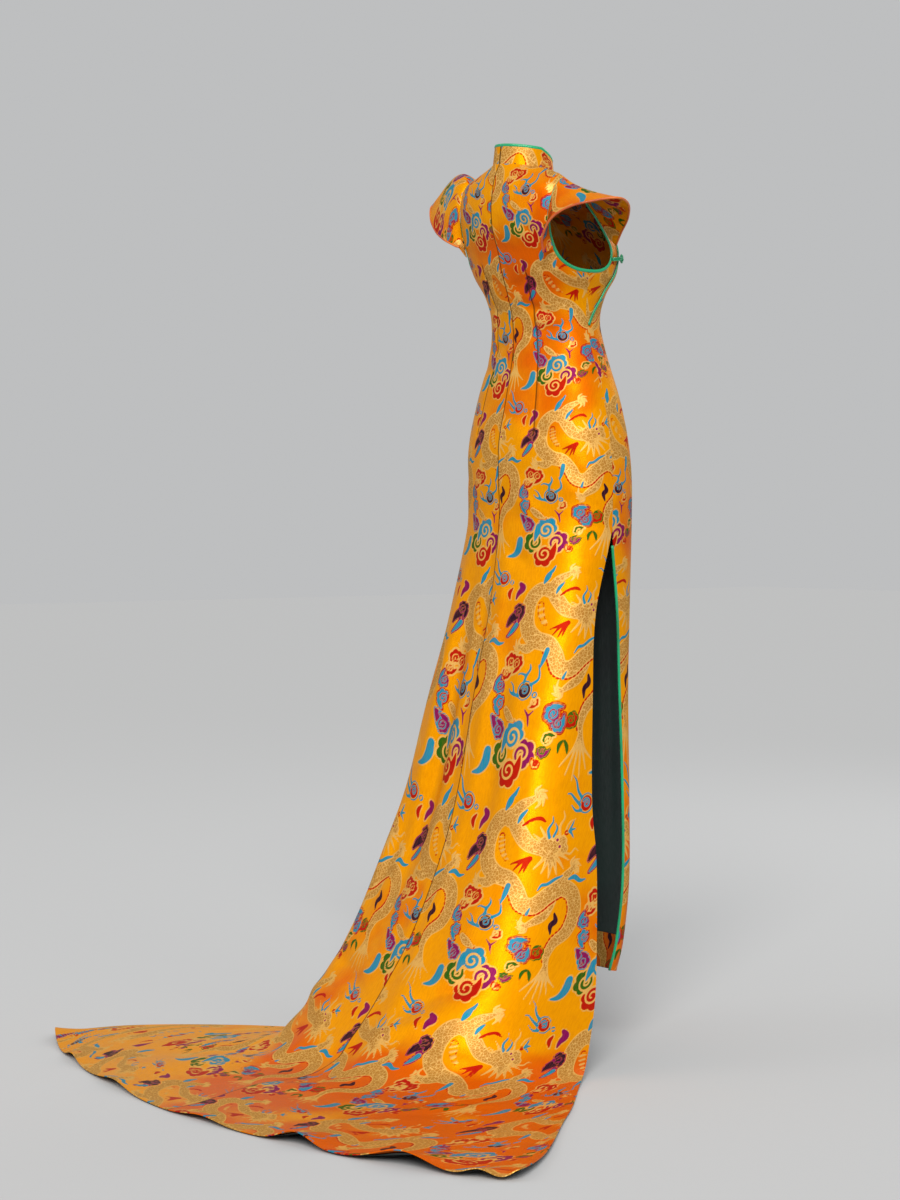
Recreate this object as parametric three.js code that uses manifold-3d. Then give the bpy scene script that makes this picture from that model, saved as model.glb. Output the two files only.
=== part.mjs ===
// A worn qipao evening gown with wing cap sleeves, side slits and a train, as thin cloth walls with no
// wearer. Sizes are in millimetres. The wearer's left is +X, the back of the gown is +Y, and +Z is up.
// Every height below is measured from the floor; the whole gown is then lowered, so that its origin lies
// between the shoulder seams, where the wearer holds it up.
import * as THREE from "three";
import Module from "manifold-3d";

// Driving dimensions
const SHOULDER_HEIGHT = 1443;
const SHOULDER_BACK = 60;
const BROCADE = 1.6;
const LINING = 0.9;
const SEAM_GAP = 0.3;
const LINING_GAP = 0.6;
const COLLAR_WALL = 2.4;
const COLLAR_HEIGHT = 29;
const COLLAR_LEAN = 3;
const COLLAR_FOOT = 0.5;
const CAP_WALL = 2.2;
const CAP_CLEAR = -0.4;
const BINDING_WIDE = 5.5;
const BINDING_THICK = 3.2;
const PIPING_WIDE = 5;
const PIPING_THICK = 2.2;
const PIPING_CLEAR = 0.7;
const CAP_PIPING = 3;
const LINING_INSET = 6;
const FROG_HALF = 27;
const FROG_WIDE = 6.5;
const FROG_THICK = 3;
const FROG_LIFT = 7.6;
const FROG_CLEAR = 1;
const KNOT_RADIUS = 4.2;
const LOOP_CORD = 1.5;

// Columns of quads across each panel
const BACK_COLUMNS = 12;
const FRONT_COLUMNS = 18;
const UNDER_ARM_COLUMNS = 6;

const COLOURS = {
  brocade: 0xf29a0c,
  lining: 0x0c2f2a,
  green: 0x06965a,
};

// Rings of the gown from the neck seam to the top of the slits. half is half its width, sideY and sideZ
// place the side seam, backY and backZ the centre back, frontY and frontZ the centre front, and square is
// the exponent of the ring's superellipse: 2 is an ellipse, and more is squarer. From the top: neck seam,
// middle of the shoulder, shoulder tip, yoke, chest, armpit, bust, under the bust, waist, high hip, belly,
// hip, seat, slit tops.
const BODICE = [
  { half: 50, sideY: 55, sideZ: 1464, backY: 106, backZ: 1468, frontY: 3, frontZ: 1442, square: 2.0 },
  { half: 84, sideY: 61, sideZ: 1456, backY: 116, backZ: 1446, frontY: -14, frontZ: 1422, square: 2.2 },
  { half: 116, sideY: 66, sideZ: 1443, backY: 121, backZ: 1422, frontY: -36, frontZ: 1400, square: 2.5 },
  { half: 126, sideY: 59, sideZ: 1402, backY: 124, backZ: 1394, frontY: -62, frontZ: 1378, square: 2.7 },
  { half: 131, sideY: 47, sideZ: 1362, backY: 121, backZ: 1360, frontY: -84, frontZ: 1350, square: 2.6 },
  { half: 136, sideY: 35, sideZ: 1326, backY: 110, backZ: 1326, frontY: -97, frontZ: 1322, square: 2.4 },
  { half: 131, sideY: 24, sideZ: 1290, backY: 101, backZ: 1290, frontY: -96, frontZ: 1288, square: 2.3 },
  { half: 113, sideY: 13, sideZ: 1252, backY: 88, backZ: 1252, frontY: -77, frontZ: 1252, square: 2.2 },
  { half: 107, sideY: 9, sideZ: 1212, backY: 78, backZ: 1212, frontY: -65, frontZ: 1212, square: 2.2 },
  { half: 116, sideY: 5, sideZ: 1160, backY: 77, backZ: 1160, frontY: -73, frontZ: 1160, square: 2.2 },
  { half: 143, sideY: 3, sideZ: 1082, backY: 92, backZ: 1082, frontY: -90, frontZ: 1082, square: 2.2 },
  { half: 157, sideY: 1, sideZ: 1012, backY: 107, backZ: 1012, frontY: -103, frontZ: 1012, square: 2.2 },
  { half: 163, sideY: 0, sideZ: 948, backY: 108, backZ: 948, frontY: -108, frontZ: 948, square: 2.2 },
  { half: 162, sideY: 0, sideZ: 870, backY: 108, backZ: 874, frontY: -109, frontZ: 870, square: 2.2 },
];

// The back below the slit tops: it widens, sweeps backwards and runs out over the floor as the train. From
// the top: thigh, knee, shin, low shin, calf, ankle, bend to the floor, then four rings on the floor down
// to the train's hem.
const TRAIN = [
  { half: 165, sideY: 38, sideZ: 730, backY: 128, backZ: 735, square: 2.6 },
  { half: 175, sideY: 53, sideZ: 590, backY: 158, backZ: 600, square: 3.2 },
  { half: 190, sideY: 67, sideZ: 430, backY: 192, backZ: 440, square: 3.6 },
  { half: 206, sideY: 71, sideZ: 330, backY: 228, backZ: 330, square: 4 },
  { half: 225, sideY: 87, sideZ: 195, backY: 285, backZ: 215, square: 4 },
  { half: 240, sideY: 104, sideZ: 110, backY: 345, backZ: 130, square: 4 },
  { half: 262, sideY: 140, sideZ: 25, backY: 405, backZ: 60, square: 3.6 },
  { half: 320, sideY: 205, sideZ: 4, backY: 470, backZ: 12, square: 3.2 },
  { half: 450, sideY: 335, sideZ: 4, backY: 560, backZ: 4, square: 3 },
  { half: 590, sideY: 500, sideZ: 4, backY: 670, backZ: 4, square: 2.4 },
  { half: 660, sideY: 622, sideZ: 4, backY: 795, backZ: 4, square: 1.6 },
];

// The front below the slit tops: it hangs straight and tapers to a hem above the ankles. From the top:
// thigh, knee, shin, calf, above the hem, hem.
const FRONT_SKIRT = [
  { half: 145, sideY: -28, sideZ: 735, frontY: -102, frontZ: 735, square: 2.3 },
  { half: 132, sideY: -45, sideZ: 600, frontY: -101, frontZ: 600, square: 2.3 },
  { half: 131, sideY: -53, sideZ: 432, frontY: -100, frontZ: 432, square: 2.3 },
  { half: 131, sideY: -54, sideZ: 290, frontY: -100, frontZ: 290, square: 2.3 },
  { half: 124, sideY: -47, sideZ: 187, frontY: -94, frontZ: 184, square: 2.3 },
  { half: 116, sideY: -38, sideZ: 134, frontY: -84, frontZ: 126, square: 2.3 },
];

const SLIT_TOP = BODICE.length - 1;
const BACK_ROWS = [...BODICE, ...TRAIN];
const FRONT_ROWS = [...BODICE, ...FRONT_SKIRT];
const TRAIN_HEM = BACK_ROWS.length - 1;
const FRONT_HEM = FRONT_ROWS.length - 1;

// The train's end swings towards the wearer's right, and turns as it does
const TRAIN_SWING = { rings: 1.8, shift: 70, slope: 0.055 };

// The wearer's left shoulder is raised: a slope of the neck and shoulders that fades out between two rings
const SHOULDER_TILT = { slope: 0.05, from: 2, to: 6 };

// The armhole: the ring numbers of its top and base, how many degrees it reaches from the side seam, how
// full its ends are, and how far its widest place lies below its middle
const ARMHOLE = { tip: 2, base: 6.1, backReach: 38, frontReach: 28, full: 2.6, low: 0.2 };

// The curved front opening: degrees from the centre front towards the wearer's right, by ring number
const OPENING = [
  { ring: 0, turn: 0 },
  { ring: 0.6, turn: 10 },
  { ring: 1.3, turn: 22 },
  { ring: 2, turn: 32 },
  { ring: 3, turn: 42 },
  { ring: 4, turn: 47 },
  { ring: 5, turn: 50 },
  { ring: 6, turn: 56 },
  { ring: 7, turn: 65 },
  { ring: 7.6, turn: 75 },
  { ring: 8.3, turn: 90 },
];
const OPENING_END = OPENING.at(-1).ring;

// Soft folds of the skirt back and train. turn is the fold's place in degrees from the centre back at its
// start and end rings, rise is how far it stands out, and wide is its half width in degrees.
const BACK_FOLDS = [
  { from: 12.5, to: 19, turnFrom: 2, turnTo: 8, rise: 5, wide: 7 },
  { from: 13, to: 20, turnFrom: 20, turnTo: 27, rise: -9, wide: 9 },
  { from: 13.5, to: 21.5, turnFrom: -36, turnTo: -30, rise: 6, wide: 11 },
  { from: 15, to: 22.5, turnFrom: 42, turnTo: 44, rise: 9, wide: 9 },
  { from: 17, to: 22.5, turnFrom: -12, turnTo: -14, rise: 7, wide: 7 },
  { from: 19, to: 24.5, turnFrom: 20, turnTo: 24, rise: 9, wide: 7 },
];

// Waves that lift the train's hem off the floor: turn is the wave's place in degrees from the centre back,
// rise is how high it stands, wide its half width in degrees, and reach how many rings it runs up the
// train. HEM_CURL is the power of the curve in which the waves rise, so that the hem curls up.
const HEM_CURL = 2.4;
const HEM_WAVES = [
  { turn: -90, rise: 13, wide: 5, reach: 2.6 },
  { turn: -76, rise: 12, wide: 5, reach: 1.1 },
  { turn: -56, rise: 22, wide: 9, reach: 1.4 },
  { turn: -30, rise: 19, wide: 5, reach: 1.6 },
  { turn: -8, rise: 8, wide: 5, reach: 1.1 },
  { turn: 18, rise: 10, wide: 6, reach: 1.2 },
  { turn: 44, rise: 12, wide: 6, reach: 1.4 },
  { turn: 72, rise: 18, wide: 9, reach: 1.5 },
];

// Outer edges of the cap sleeves, from the back end at the armhole, over the shoulder, to the front end.
// out is the distance from the gown's middle. The left sleeve is lifted by the raised shoulder.
const CAP_EDGES = {
  right: [
    { out: 115, y: 108, z: 1315 },
    { out: 121, y: 116, z: 1338 },
    { out: 142, y: 117, z: 1366 },
    { out: 170, y: 104, z: 1384 },
    { out: 202, y: 80, z: 1393 },
    { out: 228, y: 48, z: 1398 },
    { out: 208, y: 8, z: 1392 },
    { out: 174, y: -21, z: 1374 },
    { out: 146, y: -31, z: 1353 },
    { out: 128, y: -36, z: 1335 },
  ],
  left: [
    { out: 110, y: 103, z: 1340 },
    { out: 130, y: 105, z: 1347 },
    { out: 158, y: 102, z: 1358 },
    { out: 190, y: 93, z: 1374 },
    { out: 223, y: 78, z: 1400 },
    { out: 242, y: 56, z: 1426 },
    { out: 228, y: 14, z: 1430 },
    { out: 188, y: -18, z: 1404 },
    { out: 148, y: -32, z: 1366 },
    { out: 128, y: -36, z: 1337 },
  ],
};
// How far each sleeve bulges upwards between the armhole and its edge, and the power that moves the bulge
// inwards
const CAP_BULGES = { right: -4, left: 30 };
const CAP_SKEW = 0.75;
const CAP_ROWS = 20;
const CAP_COLUMNS = 5;
// The sleeves' ends on the armhole, as shares of the way from the shoulder tip to its base
const CAP_ENDS = { back: 0.66, front: 0.52 };

const radians = THREE.MathUtils.degToRad;
const { clamp, lerp, smoothstep } = THREE.MathUtils;

// One value of a smooth curve through a table's column, at a row number that needn't be whole
function smoothValue(values, at) {
  const last = values.length - 1;
  const i = Math.min(Math.floor(clamp(at, 0, last)), last - 1);
  const t = clamp(at, 0, last) - i;
  const before = values[Math.max(i - 1, 0)];
  const after = values[Math.min(i + 2, last)];
  const slopeIn = (values[i + 1] - before) / (i > 0 ? 2 : 1);
  const slopeOut = (after - values[i]) / (i + 2 <= last ? 2 : 1);
  const a = 2 * values[i] - 2 * values[i + 1] + slopeIn + slopeOut;
  const b = 3 * values[i + 1] - 3 * values[i] - 2 * slopeIn - slopeOut;
  return ((a * t + b) * t + slopeIn) * t + values[i];
}

const SIDE_SEAM = ["half", "sideY", "sideZ"];

// A column's value at a ring. Above the slits the side seam takes its curve from the bodice alone, so that
// the front and the back share it.
function column(rows, name, at) {
  const shared = rows !== BODICE && rows[0] === BODICE[0] && at <= SLIT_TOP && SIDE_SEAM.includes(name);
  return smoothValue((shared ? BODICE : rows).map((row) => row[name]), at);
}

// Height of a bell-shaped bump at a distance from its middle
const bell = (distance, wide) => Math.exp(-((distance / wide) ** 2));

// How far folds push the skirt back out, in the panel's own outward direction
function backFold(turn, ring) {
  let push = 0;
  for (const fold of BACK_FOLDS) {
    const along = (ring - fold.from) / (fold.to - fold.from);
    const middle = lerp(fold.turnFrom, fold.turnTo, clamp(along, 0, 1));
    const fade = smoothstep(along, 0, 0.4) * (1 - smoothstep(along, 0.75, 1));
    push += fold.rise * fade * bell(turn - middle, fold.wide);
  }
  return push;
}

// How far waves lift the train off the floor
function hemLift(turn, ring) {
  let lift = 0;
  for (const wave of HEM_WAVES) {
    const near = clamp(1 - (TRAIN_HEM - ring) / wave.reach, 0, 1);
    lift += wave.rise * near ** HEM_CURL * bell(turn - wave.turn, wave.wide);
  }
  return lift;
}

// How far the raised left shoulder lifts a point, and lowers one on the other side
const shoulderLift = (x, ring) =>
  x * SHOULDER_TILT.slope * (1 - smoothstep(ring, SHOULDER_TILT.from, SHOULDER_TILT.to));

// Shares of the half width and of the depth at a turn around a superellipse
function aroundRing(turn, square) {
  const angle = radians(clamp(turn, -90, 90));
  const across = Math.sin(angle);
  const deep = Math.cos(angle);
  const reach = (Math.abs(across) ** square + Math.abs(deep) ** square) ** (-1 / square);
  return { across: across * reach, deep: deep * reach };
}

// A point on the outside of the back. turn is in degrees from the centre back, + towards the wearer's left.
function backPoint(turn, ring) {
  const get = (name) => column(BACK_ROWS, name, ring);
  const { across, deep } = aroundRing(turn, get("square"));
  const angle = radians(turn);
  const flat = smoothstep(ring, SLIT_TOP + 4, SLIT_TOP + 7.5);
  const push = backFold(turn, ring) * (1 - flat);
  const swing = smoothstep(ring, TRAIN_HEM - TRAIN_SWING.rings, TRAIN_HEM);
  const x = get("half") * across + push * Math.sin(angle) - TRAIN_SWING.shift * swing;
  const lift = Math.max(backFold(turn, ring), 0) * flat + hemLift(turn, ring) + shoulderLift(x, ring);
  return new THREE.Vector3(
    x,
    lerp(get("sideY"), get("backY"), deep) + push * Math.cos(angle) - TRAIN_SWING.slope * swing * x,
    lerp(get("sideZ"), get("backZ"), deep) + lift,
  );
}

// A point on the outside of the front. turn is in degrees from the centre front, + towards the wearer's
// right.
function frontPoint(turn, ring) {
  const get = (name) => column(FRONT_ROWS, name, ring);
  const { across, deep } = aroundRing(turn, get("square"));
  const x = -get("half") * across;
  return new THREE.Vector3(
    x,
    lerp(get("sideY"), get("frontY"), deep),
    lerp(get("sideZ"), get("frontZ"), deep) + shoulderLift(x, ring),
  );
}

const armholeMiddle = (ARMHOLE.tip + ARMHOLE.base) / 2;
const armholeHalf = (ARMHOLE.base - ARMHOLE.tip) / 2;

// Degrees from the side seam to the armhole's edge at a ring
function armholeTurn(ring, reach) {
  const share = clamp((ring - armholeMiddle) / armholeHalf, -1, 1);
  return reach * (1 - Math.abs(share) ** ARMHOLE.full) ** (1 / ARMHOLE.full) * (1 + ARMHOLE.low * share);
}

function openingTurn(ring) {
  const i = OPENING.findIndex((p) => p.ring >= ring);
  if (i <= 0) return i < 0 ? 90 : OPENING[0].turn;
  const share = (ring - OPENING[i - 1].ring) / (OPENING[i].ring - OPENING[i - 1].ring);
  return clamp(smoothValue(OPENING.map((p) => p.turn), i - 1 + share), 0, 90);
}

// Ring numbers where the panels have a row of corners: closer together at the armhole's ends
const ARMHOLE_SHARES = [-1, -0.985, -0.9, -0.72, -0.48, -0.2, 0.1, 0.4, 0.65, 0.84, 0.95, 0.99, 1];
const YOKE_STOPS = [0, 0.6, 1.3, ...ARMHOLE_SHARES.map((share) => armholeMiddle + share * armholeHalf)];
const TORSO_STOPS = [6.5, 7, 7.6, 8, 8.3, 9, 9.8, 10.6, 11.4, 12.2, 13];
const TRAIN_STOPS = [
  13.5, 14, 14.5, 15, 15.5, 16, 16.5, 17, 17.5, 18, 18.5, 19, 19.35, 19.7, 20, 20.4, 20.8, 21.2, 21.6, 22,
  22.4, 22.8, 23.2, 23.5, 23.8, 24,
];
const FRONT_SKIRT_STOPS = [13.5, 14, 14.5, 15, 15.5, 16, 16.5, 17, 17.5, 18, 18.5, 19];

// The linings start at the row above the slit tops, and the front hem is turned up as far as this ring
const LINING_TOP = 12.2;
const TURN_UP_RING = 18;

// A grid of points: one row for each ring, from fromTurn(ring) to toTurn(ring) in columns steps
function gridOf(point, rings, fromTurn, toTurn, columns) {
  return rings.map((ring) =>
    Array.from({ length: columns + 1 }, (_, j) =>
      point(lerp(fromTurn(ring), toTurn(ring), j / columns), ring),
    ),
  );
}

// Outward normals of a grid, from the steps to its neighbours
function normalsOf(grid) {
  const rows = grid.length - 1;
  const columns = grid[0].length - 1;
  return grid.map((row, i) =>
    row.map((_, j) => {
      const across = grid[i][Math.min(j + 1, columns)].clone().sub(grid[i][Math.max(j - 1, 0)]);
      const down = grid[Math.min(i + 1, rows)][j].clone().sub(grid[Math.max(i - 1, 0)][j]);
      return across.cross(down).normalize();
    }),
  );
}

const offsetGrid = (grid, normals, by) =>
  grid.map((row, i) => row.map((p, j) => p.clone().addScaledVector(normals[i][j], by)));

// Moves a grid's first or last column back along its rows, which leaves a gap at a seam
function trimColumn(grid, last, gap) {
  for (const row of grid) {
    const edge = last ? row.length - 1 : 0;
    const inner = last ? edge - 1 : 1;
    const step = row[inner].clone().sub(row[edge]);
    row[edge].addScaledVector(step.normalize(), gap);
  }
}

// A closed solid from its corners and triangles, turned to face outwards
function closedSolid(points, triangles) {
  const geometry = new THREE.BufferGeometry();
  const positions = new Float32Array(points.flatMap((p) => [p.x, p.y, p.z]));
  let volume = 0;
  for (const [a, b, c] of triangles) {
    volume += points[a].dot(points[b].clone().cross(points[c]));
  }
  const facing = volume < 0 ? triangles.map(([a, b, c]) => [a, c, b]) : triangles;
  geometry.setAttribute("position", new THREE.BufferAttribute(positions, 3));
  geometry.setIndex(facing.flat());
  return geometry;
}

// The wall between an outer and an inner grid of the same size
function wallBetween(outer, inner) {
  const rows = outer.length - 1;
  const columns = outer[0].length - 1;
  const points = [...outer.flat(), ...inner.flat()];
  const half = outer.flat().length;
  const at = (i, j) => i * (columns + 1) + j;
  const triangles = [];
  const quad = (a, b, c, d) => triangles.push([a, b, c], [a, c, d]);
  for (let i = 0; i < rows; i++) {
    for (let j = 0; j < columns; j++) {
      quad(at(i, j), at(i, j + 1), at(i + 1, j + 1), at(i + 1, j));
      quad(half + at(i, j), half + at(i + 1, j), half + at(i + 1, j + 1), half + at(i, j + 1));
    }
  }
  for (let i = 0; i < rows; i++) {
    quad(at(i, 0), at(i + 1, 0), half + at(i + 1, 0), half + at(i, 0));
    quad(at(i + 1, columns), at(i, columns), half + at(i, columns), half + at(i + 1, columns));
  }
  for (let j = 0; j < columns; j++) {
    quad(at(0, j + 1), at(0, j), half + at(0, j), half + at(0, j + 1));
    quad(at(rows, j), at(rows, j + 1), half + at(rows, j + 1), half + at(rows, j));
  }
  return closedSolid(points, triangles);
}

// A cloth wall of even thickness inside a grid of outer points
function clothWall(grid, thick) {
  return wallBetween(grid, offsetGrid(grid, normalsOf(grid), -thick));
}

// A strip of flattened six-sided section along stations of {at, side, up}; looped joins its ends
function strip(stations, wide, thick, looped = false) {
  const SECTION = [
    [-0.5, 0],
    [-0.32, 0.5],
    [0.32, 0.5],
    [0.5, 0],
    [0.32, -0.5],
    [-0.32, -0.5],
  ];
  const sides = SECTION.length;
  const points = stations.flatMap(({ at, side, up }) =>
    SECTION.map(([s, u]) => at.clone().addScaledVector(side, s * wide).addScaledVector(up, u * thick)),
  );
  const triangles = [];
  const spans = looped ? stations.length : stations.length - 1;
  for (let i = 0; i < spans; i++) {
    const next = (i + 1) % stations.length;
    for (let k = 0; k < sides; k++) {
      const a = i * sides + k;
      const b = i * sides + ((k + 1) % sides);
      const c = next * sides + ((k + 1) % sides);
      const d = next * sides + k;
      triangles.push([a, b, c], [a, c, d]);
    }
  }
  if (!looped) {
    const end = (stations.length - 1) * sides;
    for (let k = 1; k < sides - 1; k++) {
      triangles.push([0, k + 1, k], [end, end + k, end + k + 1]);
    }
  }
  return closedSolid(points, triangles);
}

// Stations of a strip beside a panel's edge: path is the edge, ups its outward normals, and inside a point
// line on the panel that tells which way the cloth lies. The strip's near side stays a seam gap from the
// edge.
function besideEdge(path, ups, inside, wide, drop) {
  return path.map((p, i) => {
    const before = path[Math.max(i - 1, 0)];
    const after = path[Math.min(i + 1, path.length - 1)];
    const along = after.clone().sub(before).normalize();
    const side = along.clone().cross(ups[i]).normalize();
    if (side.dot(inside[i].clone().sub(p)) > 0) side.negate();
    const at = p.clone().addScaledVector(side, wide / 2 + SEAM_GAP).addScaledVector(ups[i], -drop);
    return { at, side, up: ups[i] };
  });
}

// Stations of a strip that lies on a surface
function onSurface(path, ups, lift) {
  return path.map((p, i) => {
    const before = path[Math.max(i - 1, 0)];
    const after = path[Math.min(i + 1, path.length - 1)];
    const along = after.clone().sub(before).normalize();
    const side = along.clone().cross(ups[i]).normalize();
    return { at: p.clone().addScaledVector(ups[i], lift), side, up: ups[i] };
  });
}

// The outward normal of a surface at a turn and ring
function normalAt(point, turn, ring) {
  const step = 0.5;
  const across = point(Math.min(turn + step, 90), ring).sub(point(Math.max(turn - step, -90), ring));
  const down = point(turn, ring + 0.05).sub(point(turn, Math.max(ring - 0.05, 0)));
  return across.cross(down).normalize();
}

// The outward normal that the back and the front share at a side or shoulder seam; sign is + on the
// wearer's left
function seamNormal(sign, ring) {
  return normalAt(backPoint, sign * 90, ring).add(normalAt(frontPoint, -sign * 90, ring)).normalize();
}

// Normals of a back or front panel. seams holds, for its first and last column, the wearer's side of a side
// seam there, "middle" for a centre back seam, or nothing.
function panelNormals(grid, rings, seams) {
  const normals = normalsOf(grid);
  const onSeam = (ring) => ring <= SLIT_TOP && (ring <= ARMHOLE.tip || ring >= ARMHOLE.base);
  seams.forEach((seam, last) => {
    rings.forEach((ring, i) => {
      const j = last ? grid[i].length - 1 : 0;
      if (seam === "middle") normals[i][j].setX(0).normalize();
      else if (seam && onSeam(ring)) normals[i][j] = seamNormal(seam, ring);
    });
  });
  return normals;
}

const gown = new THREE.Group();
gown.name = "gown";

// Adds one named piece to the gown
function piece(name, geometry, colour, roughness = 0.45) {
  const material = new THREE.MeshStandardMaterial({ color: colour, roughness, metalness: 0 });
  const mesh = new THREE.Mesh(geometry, material);
  mesh.name = name;
  gown.add(mesh);
}

// Back panels: each from the neck, shoulder and armhole to the hem of the train, split at the centre back
const backSide = (ring) => 90 - armholeTurn(ring, ARMHOLE.backReach);
const backRings = [...YOKE_STOPS, ...TORSO_STOPS, ...TRAIN_STOPS];

function backPanels() {
  for (const [name, sign] of [["back_right", -1], ["back_left", 1]]) {
    const from = (ring) => (sign < 0 ? -backSide(ring) : 0);
    const to = (ring) => (sign < 0 ? 0 : backSide(ring));
    const grid = gridOf(backPoint, backRings, from, to, BACK_COLUMNS);
    trimColumn(grid, sign < 0, SEAM_GAP / 2);
    trimColumn(grid, sign > 0, SEAM_GAP);
    const seams = sign < 0 ? [-1, "middle"] : ["middle", 1];
    const inner = offsetGrid(grid, panelNormals(grid, backRings, seams), -BROCADE);
    // The turned hem is the lowest edge of the train, so it reaches the floor wherever no wave lifts it
    inner.at(-1).forEach((p, j) => {
      p.z = hemLift(lerp(from(TRAIN_HEM), to(TRAIN_HEM), j / BACK_COLUMNS), TRAIN_HEM);
    });
    piece(name, wallBetween(grid, inner), COLOURS.brocade);
  }
}

// The lining of the skirt back and train, one layer inside both back panels
function backLining() {
  const rings = backRings.filter((ring) => ring >= LINING_TOP && ring < TRAIN_HEM);
  const grid = gridOf(backPoint, rings, () => -90, () => 90, 2 * BACK_COLUMNS);
  trimColumn(grid, false, LINING_INSET);
  trimColumn(grid, true, LINING_INSET);
  const normals = normalsOf(grid);
  const outer = offsetGrid(grid, normals, -(BROCADE + LINING_GAP));
  const inner = offsetGrid(grid, normals, -(BROCADE + LINING_GAP + LINING));
  piece("back_lining", wallBetween(outer, inner), COLOURS.lining, 0.5);
}

// Front panels: the main front, and the small one under the wearer's right arm, split by the curved opening
const frontSide = (ring) => 90 - armholeTurn(ring, ARMHOLE.frontReach);
const frontRings = [...YOKE_STOPS, ...TORSO_STOPS, ...FRONT_SKIRT_STOPS];

function frontPanels() {
  const mainRight = (ring) => (ring < OPENING_END ? openingTurn(ring) : 90);
  const main = gridOf(frontPoint, frontRings, (ring) => -frontSide(ring), mainRight, FRONT_COLUMNS);
  trimColumn(main, false, SEAM_GAP);
  trimColumn(main, true, SEAM_GAP);
  const mainNormals = panelNormals(main, frontRings, [1, ""]);
  const belowOpening = frontRings.map((ring, i) => [ring, i]).filter(([ring]) => ring >= OPENING_END);
  for (const [ring, i] of belowOpening) {
    if (ring <= SLIT_TOP) mainNormals[i][FRONT_COLUMNS] = seamNormal(-1, ring);
  }
  piece("front_main", wallBetween(main, offsetGrid(main, mainNormals, -BROCADE)), COLOURS.brocade);
  const rings = frontRings.filter((ring) => ring < OPENING_END - 0.01);
  const under = gridOf(frontPoint, rings, openingTurn, frontSide, UNDER_ARM_COLUMNS);
  trimColumn(under, false, SEAM_GAP / 2);
  trimColumn(under, true, SEAM_GAP);
  const underNormals = panelNormals(under, rings, ["", -1]);
  piece("front_under_arm", wallBetween(under, offsetGrid(under, underNormals, -BROCADE)), COLOURS.brocade);
}

// The lining of the skirt front, and the brocade hem turned up inside it
function frontLining() {
  const lined = frontRings.filter((ring) => ring >= LINING_TOP && ring <= TURN_UP_RING);
  const turned = [TURN_UP_RING, 18.5, FRONT_HEM];
  const layers = [
    { name: "front_lining", rings: lined, thick: LINING, colour: COLOURS.lining },
    { name: "front_hem_turn_up", rings: turned, thick: BROCADE, colour: COLOURS.brocade },
  ];
  for (const { name, rings, thick, colour } of layers) {
    const grid = gridOf(frontPoint, rings, () => -90, () => 90, FRONT_COLUMNS);
    trimColumn(grid, false, LINING_INSET);
    trimColumn(grid, true, LINING_INSET);
    if (name === "front_lining") {
      grid.at(-1).forEach((p) => (p.z += 2 * SEAM_GAP));
    }
    const normals = normalsOf(grid);
    const outer = offsetGrid(grid, normals, -(BROCADE + LINING_GAP));
    const inner = offsetGrid(grid, normals, -(BROCADE + LINING_GAP + thick));
    piece(name, wallBetween(outer, inner), colour, 0.5);
  }
}

// The stand collar: two halves from the centre back to rounded corners at the centre front
const COLLAR_TURNS = [0, 15, 30, 45, 60, 75, 90, 105, 120, 135, 150, 157, 163, 167.5, 170.5, 172, 172.6];
const COLLAR_CORNER = 150;
const COLLAR_END = COLLAR_TURNS.at(-1);

function collarPoint(sign, turn, share) {
  const front = turn > 90;
  const ring = front ? frontPoint(-sign * (180 - turn), 0) : backPoint(sign * turn, 0);
  const corner = clamp((turn - COLLAR_CORNER) / (COLLAR_END - COLLAR_CORNER), 0, 1);
  const high = COLLAR_HEIGHT * (0.2 + 0.8 * Math.sqrt(1 - corner * corner));
  const inwards = new THREE.Vector3(-ring.x, SHOULDER_BACK - ring.y, 0).normalize();
  const point = ring.clone().addScaledVector(inwards, (COLLAR_LEAN * share * high) / COLLAR_HEIGHT);
  point.z += COLLAR_FOOT + share * high;
  return point;
}

function collar() {
  const SHARES = [1, 0.66, 0.33, 0];
  for (const [name, sign] of [["right", -1], ["left", 1]]) {
    const turns = sign < 0 ? [...COLLAR_TURNS].reverse() : COLLAR_TURNS;
    const grid = SHARES.map((share) => turns.map((turn) => collarPoint(sign, turn, share)));
    trimColumn(grid, sign < 0, 2 * SEAM_GAP);
    piece(`collar_${name}`, clothWall(grid, COLLAR_WALL), COLOURS.brocade);
    const normals = normalsOf(grid);
    const stations = besideEdge(grid[0], normals[0], grid[1], BINDING_WIDE, COLLAR_WALL / 2);
    piece(`collar_binding_${name}`, strip(stations, BINDING_WIDE, BINDING_THICK), COLOURS.green, 0.35);
  }
}

// A point of an armhole's edge, with its outward normal; share runs from -1 at the shoulder tip to 1 at its
// base
function armholeAt(sign, share, onBack) {
  const ring = armholeMiddle + share * armholeHalf;
  const turn = onBack ? sign * backSide(ring) : -sign * frontSide(ring);
  const point = onBack ? backPoint : frontPoint;
  return { at: point(turn, ring), up: normalAt(point, turn * 0.99, ring) };
}

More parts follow.
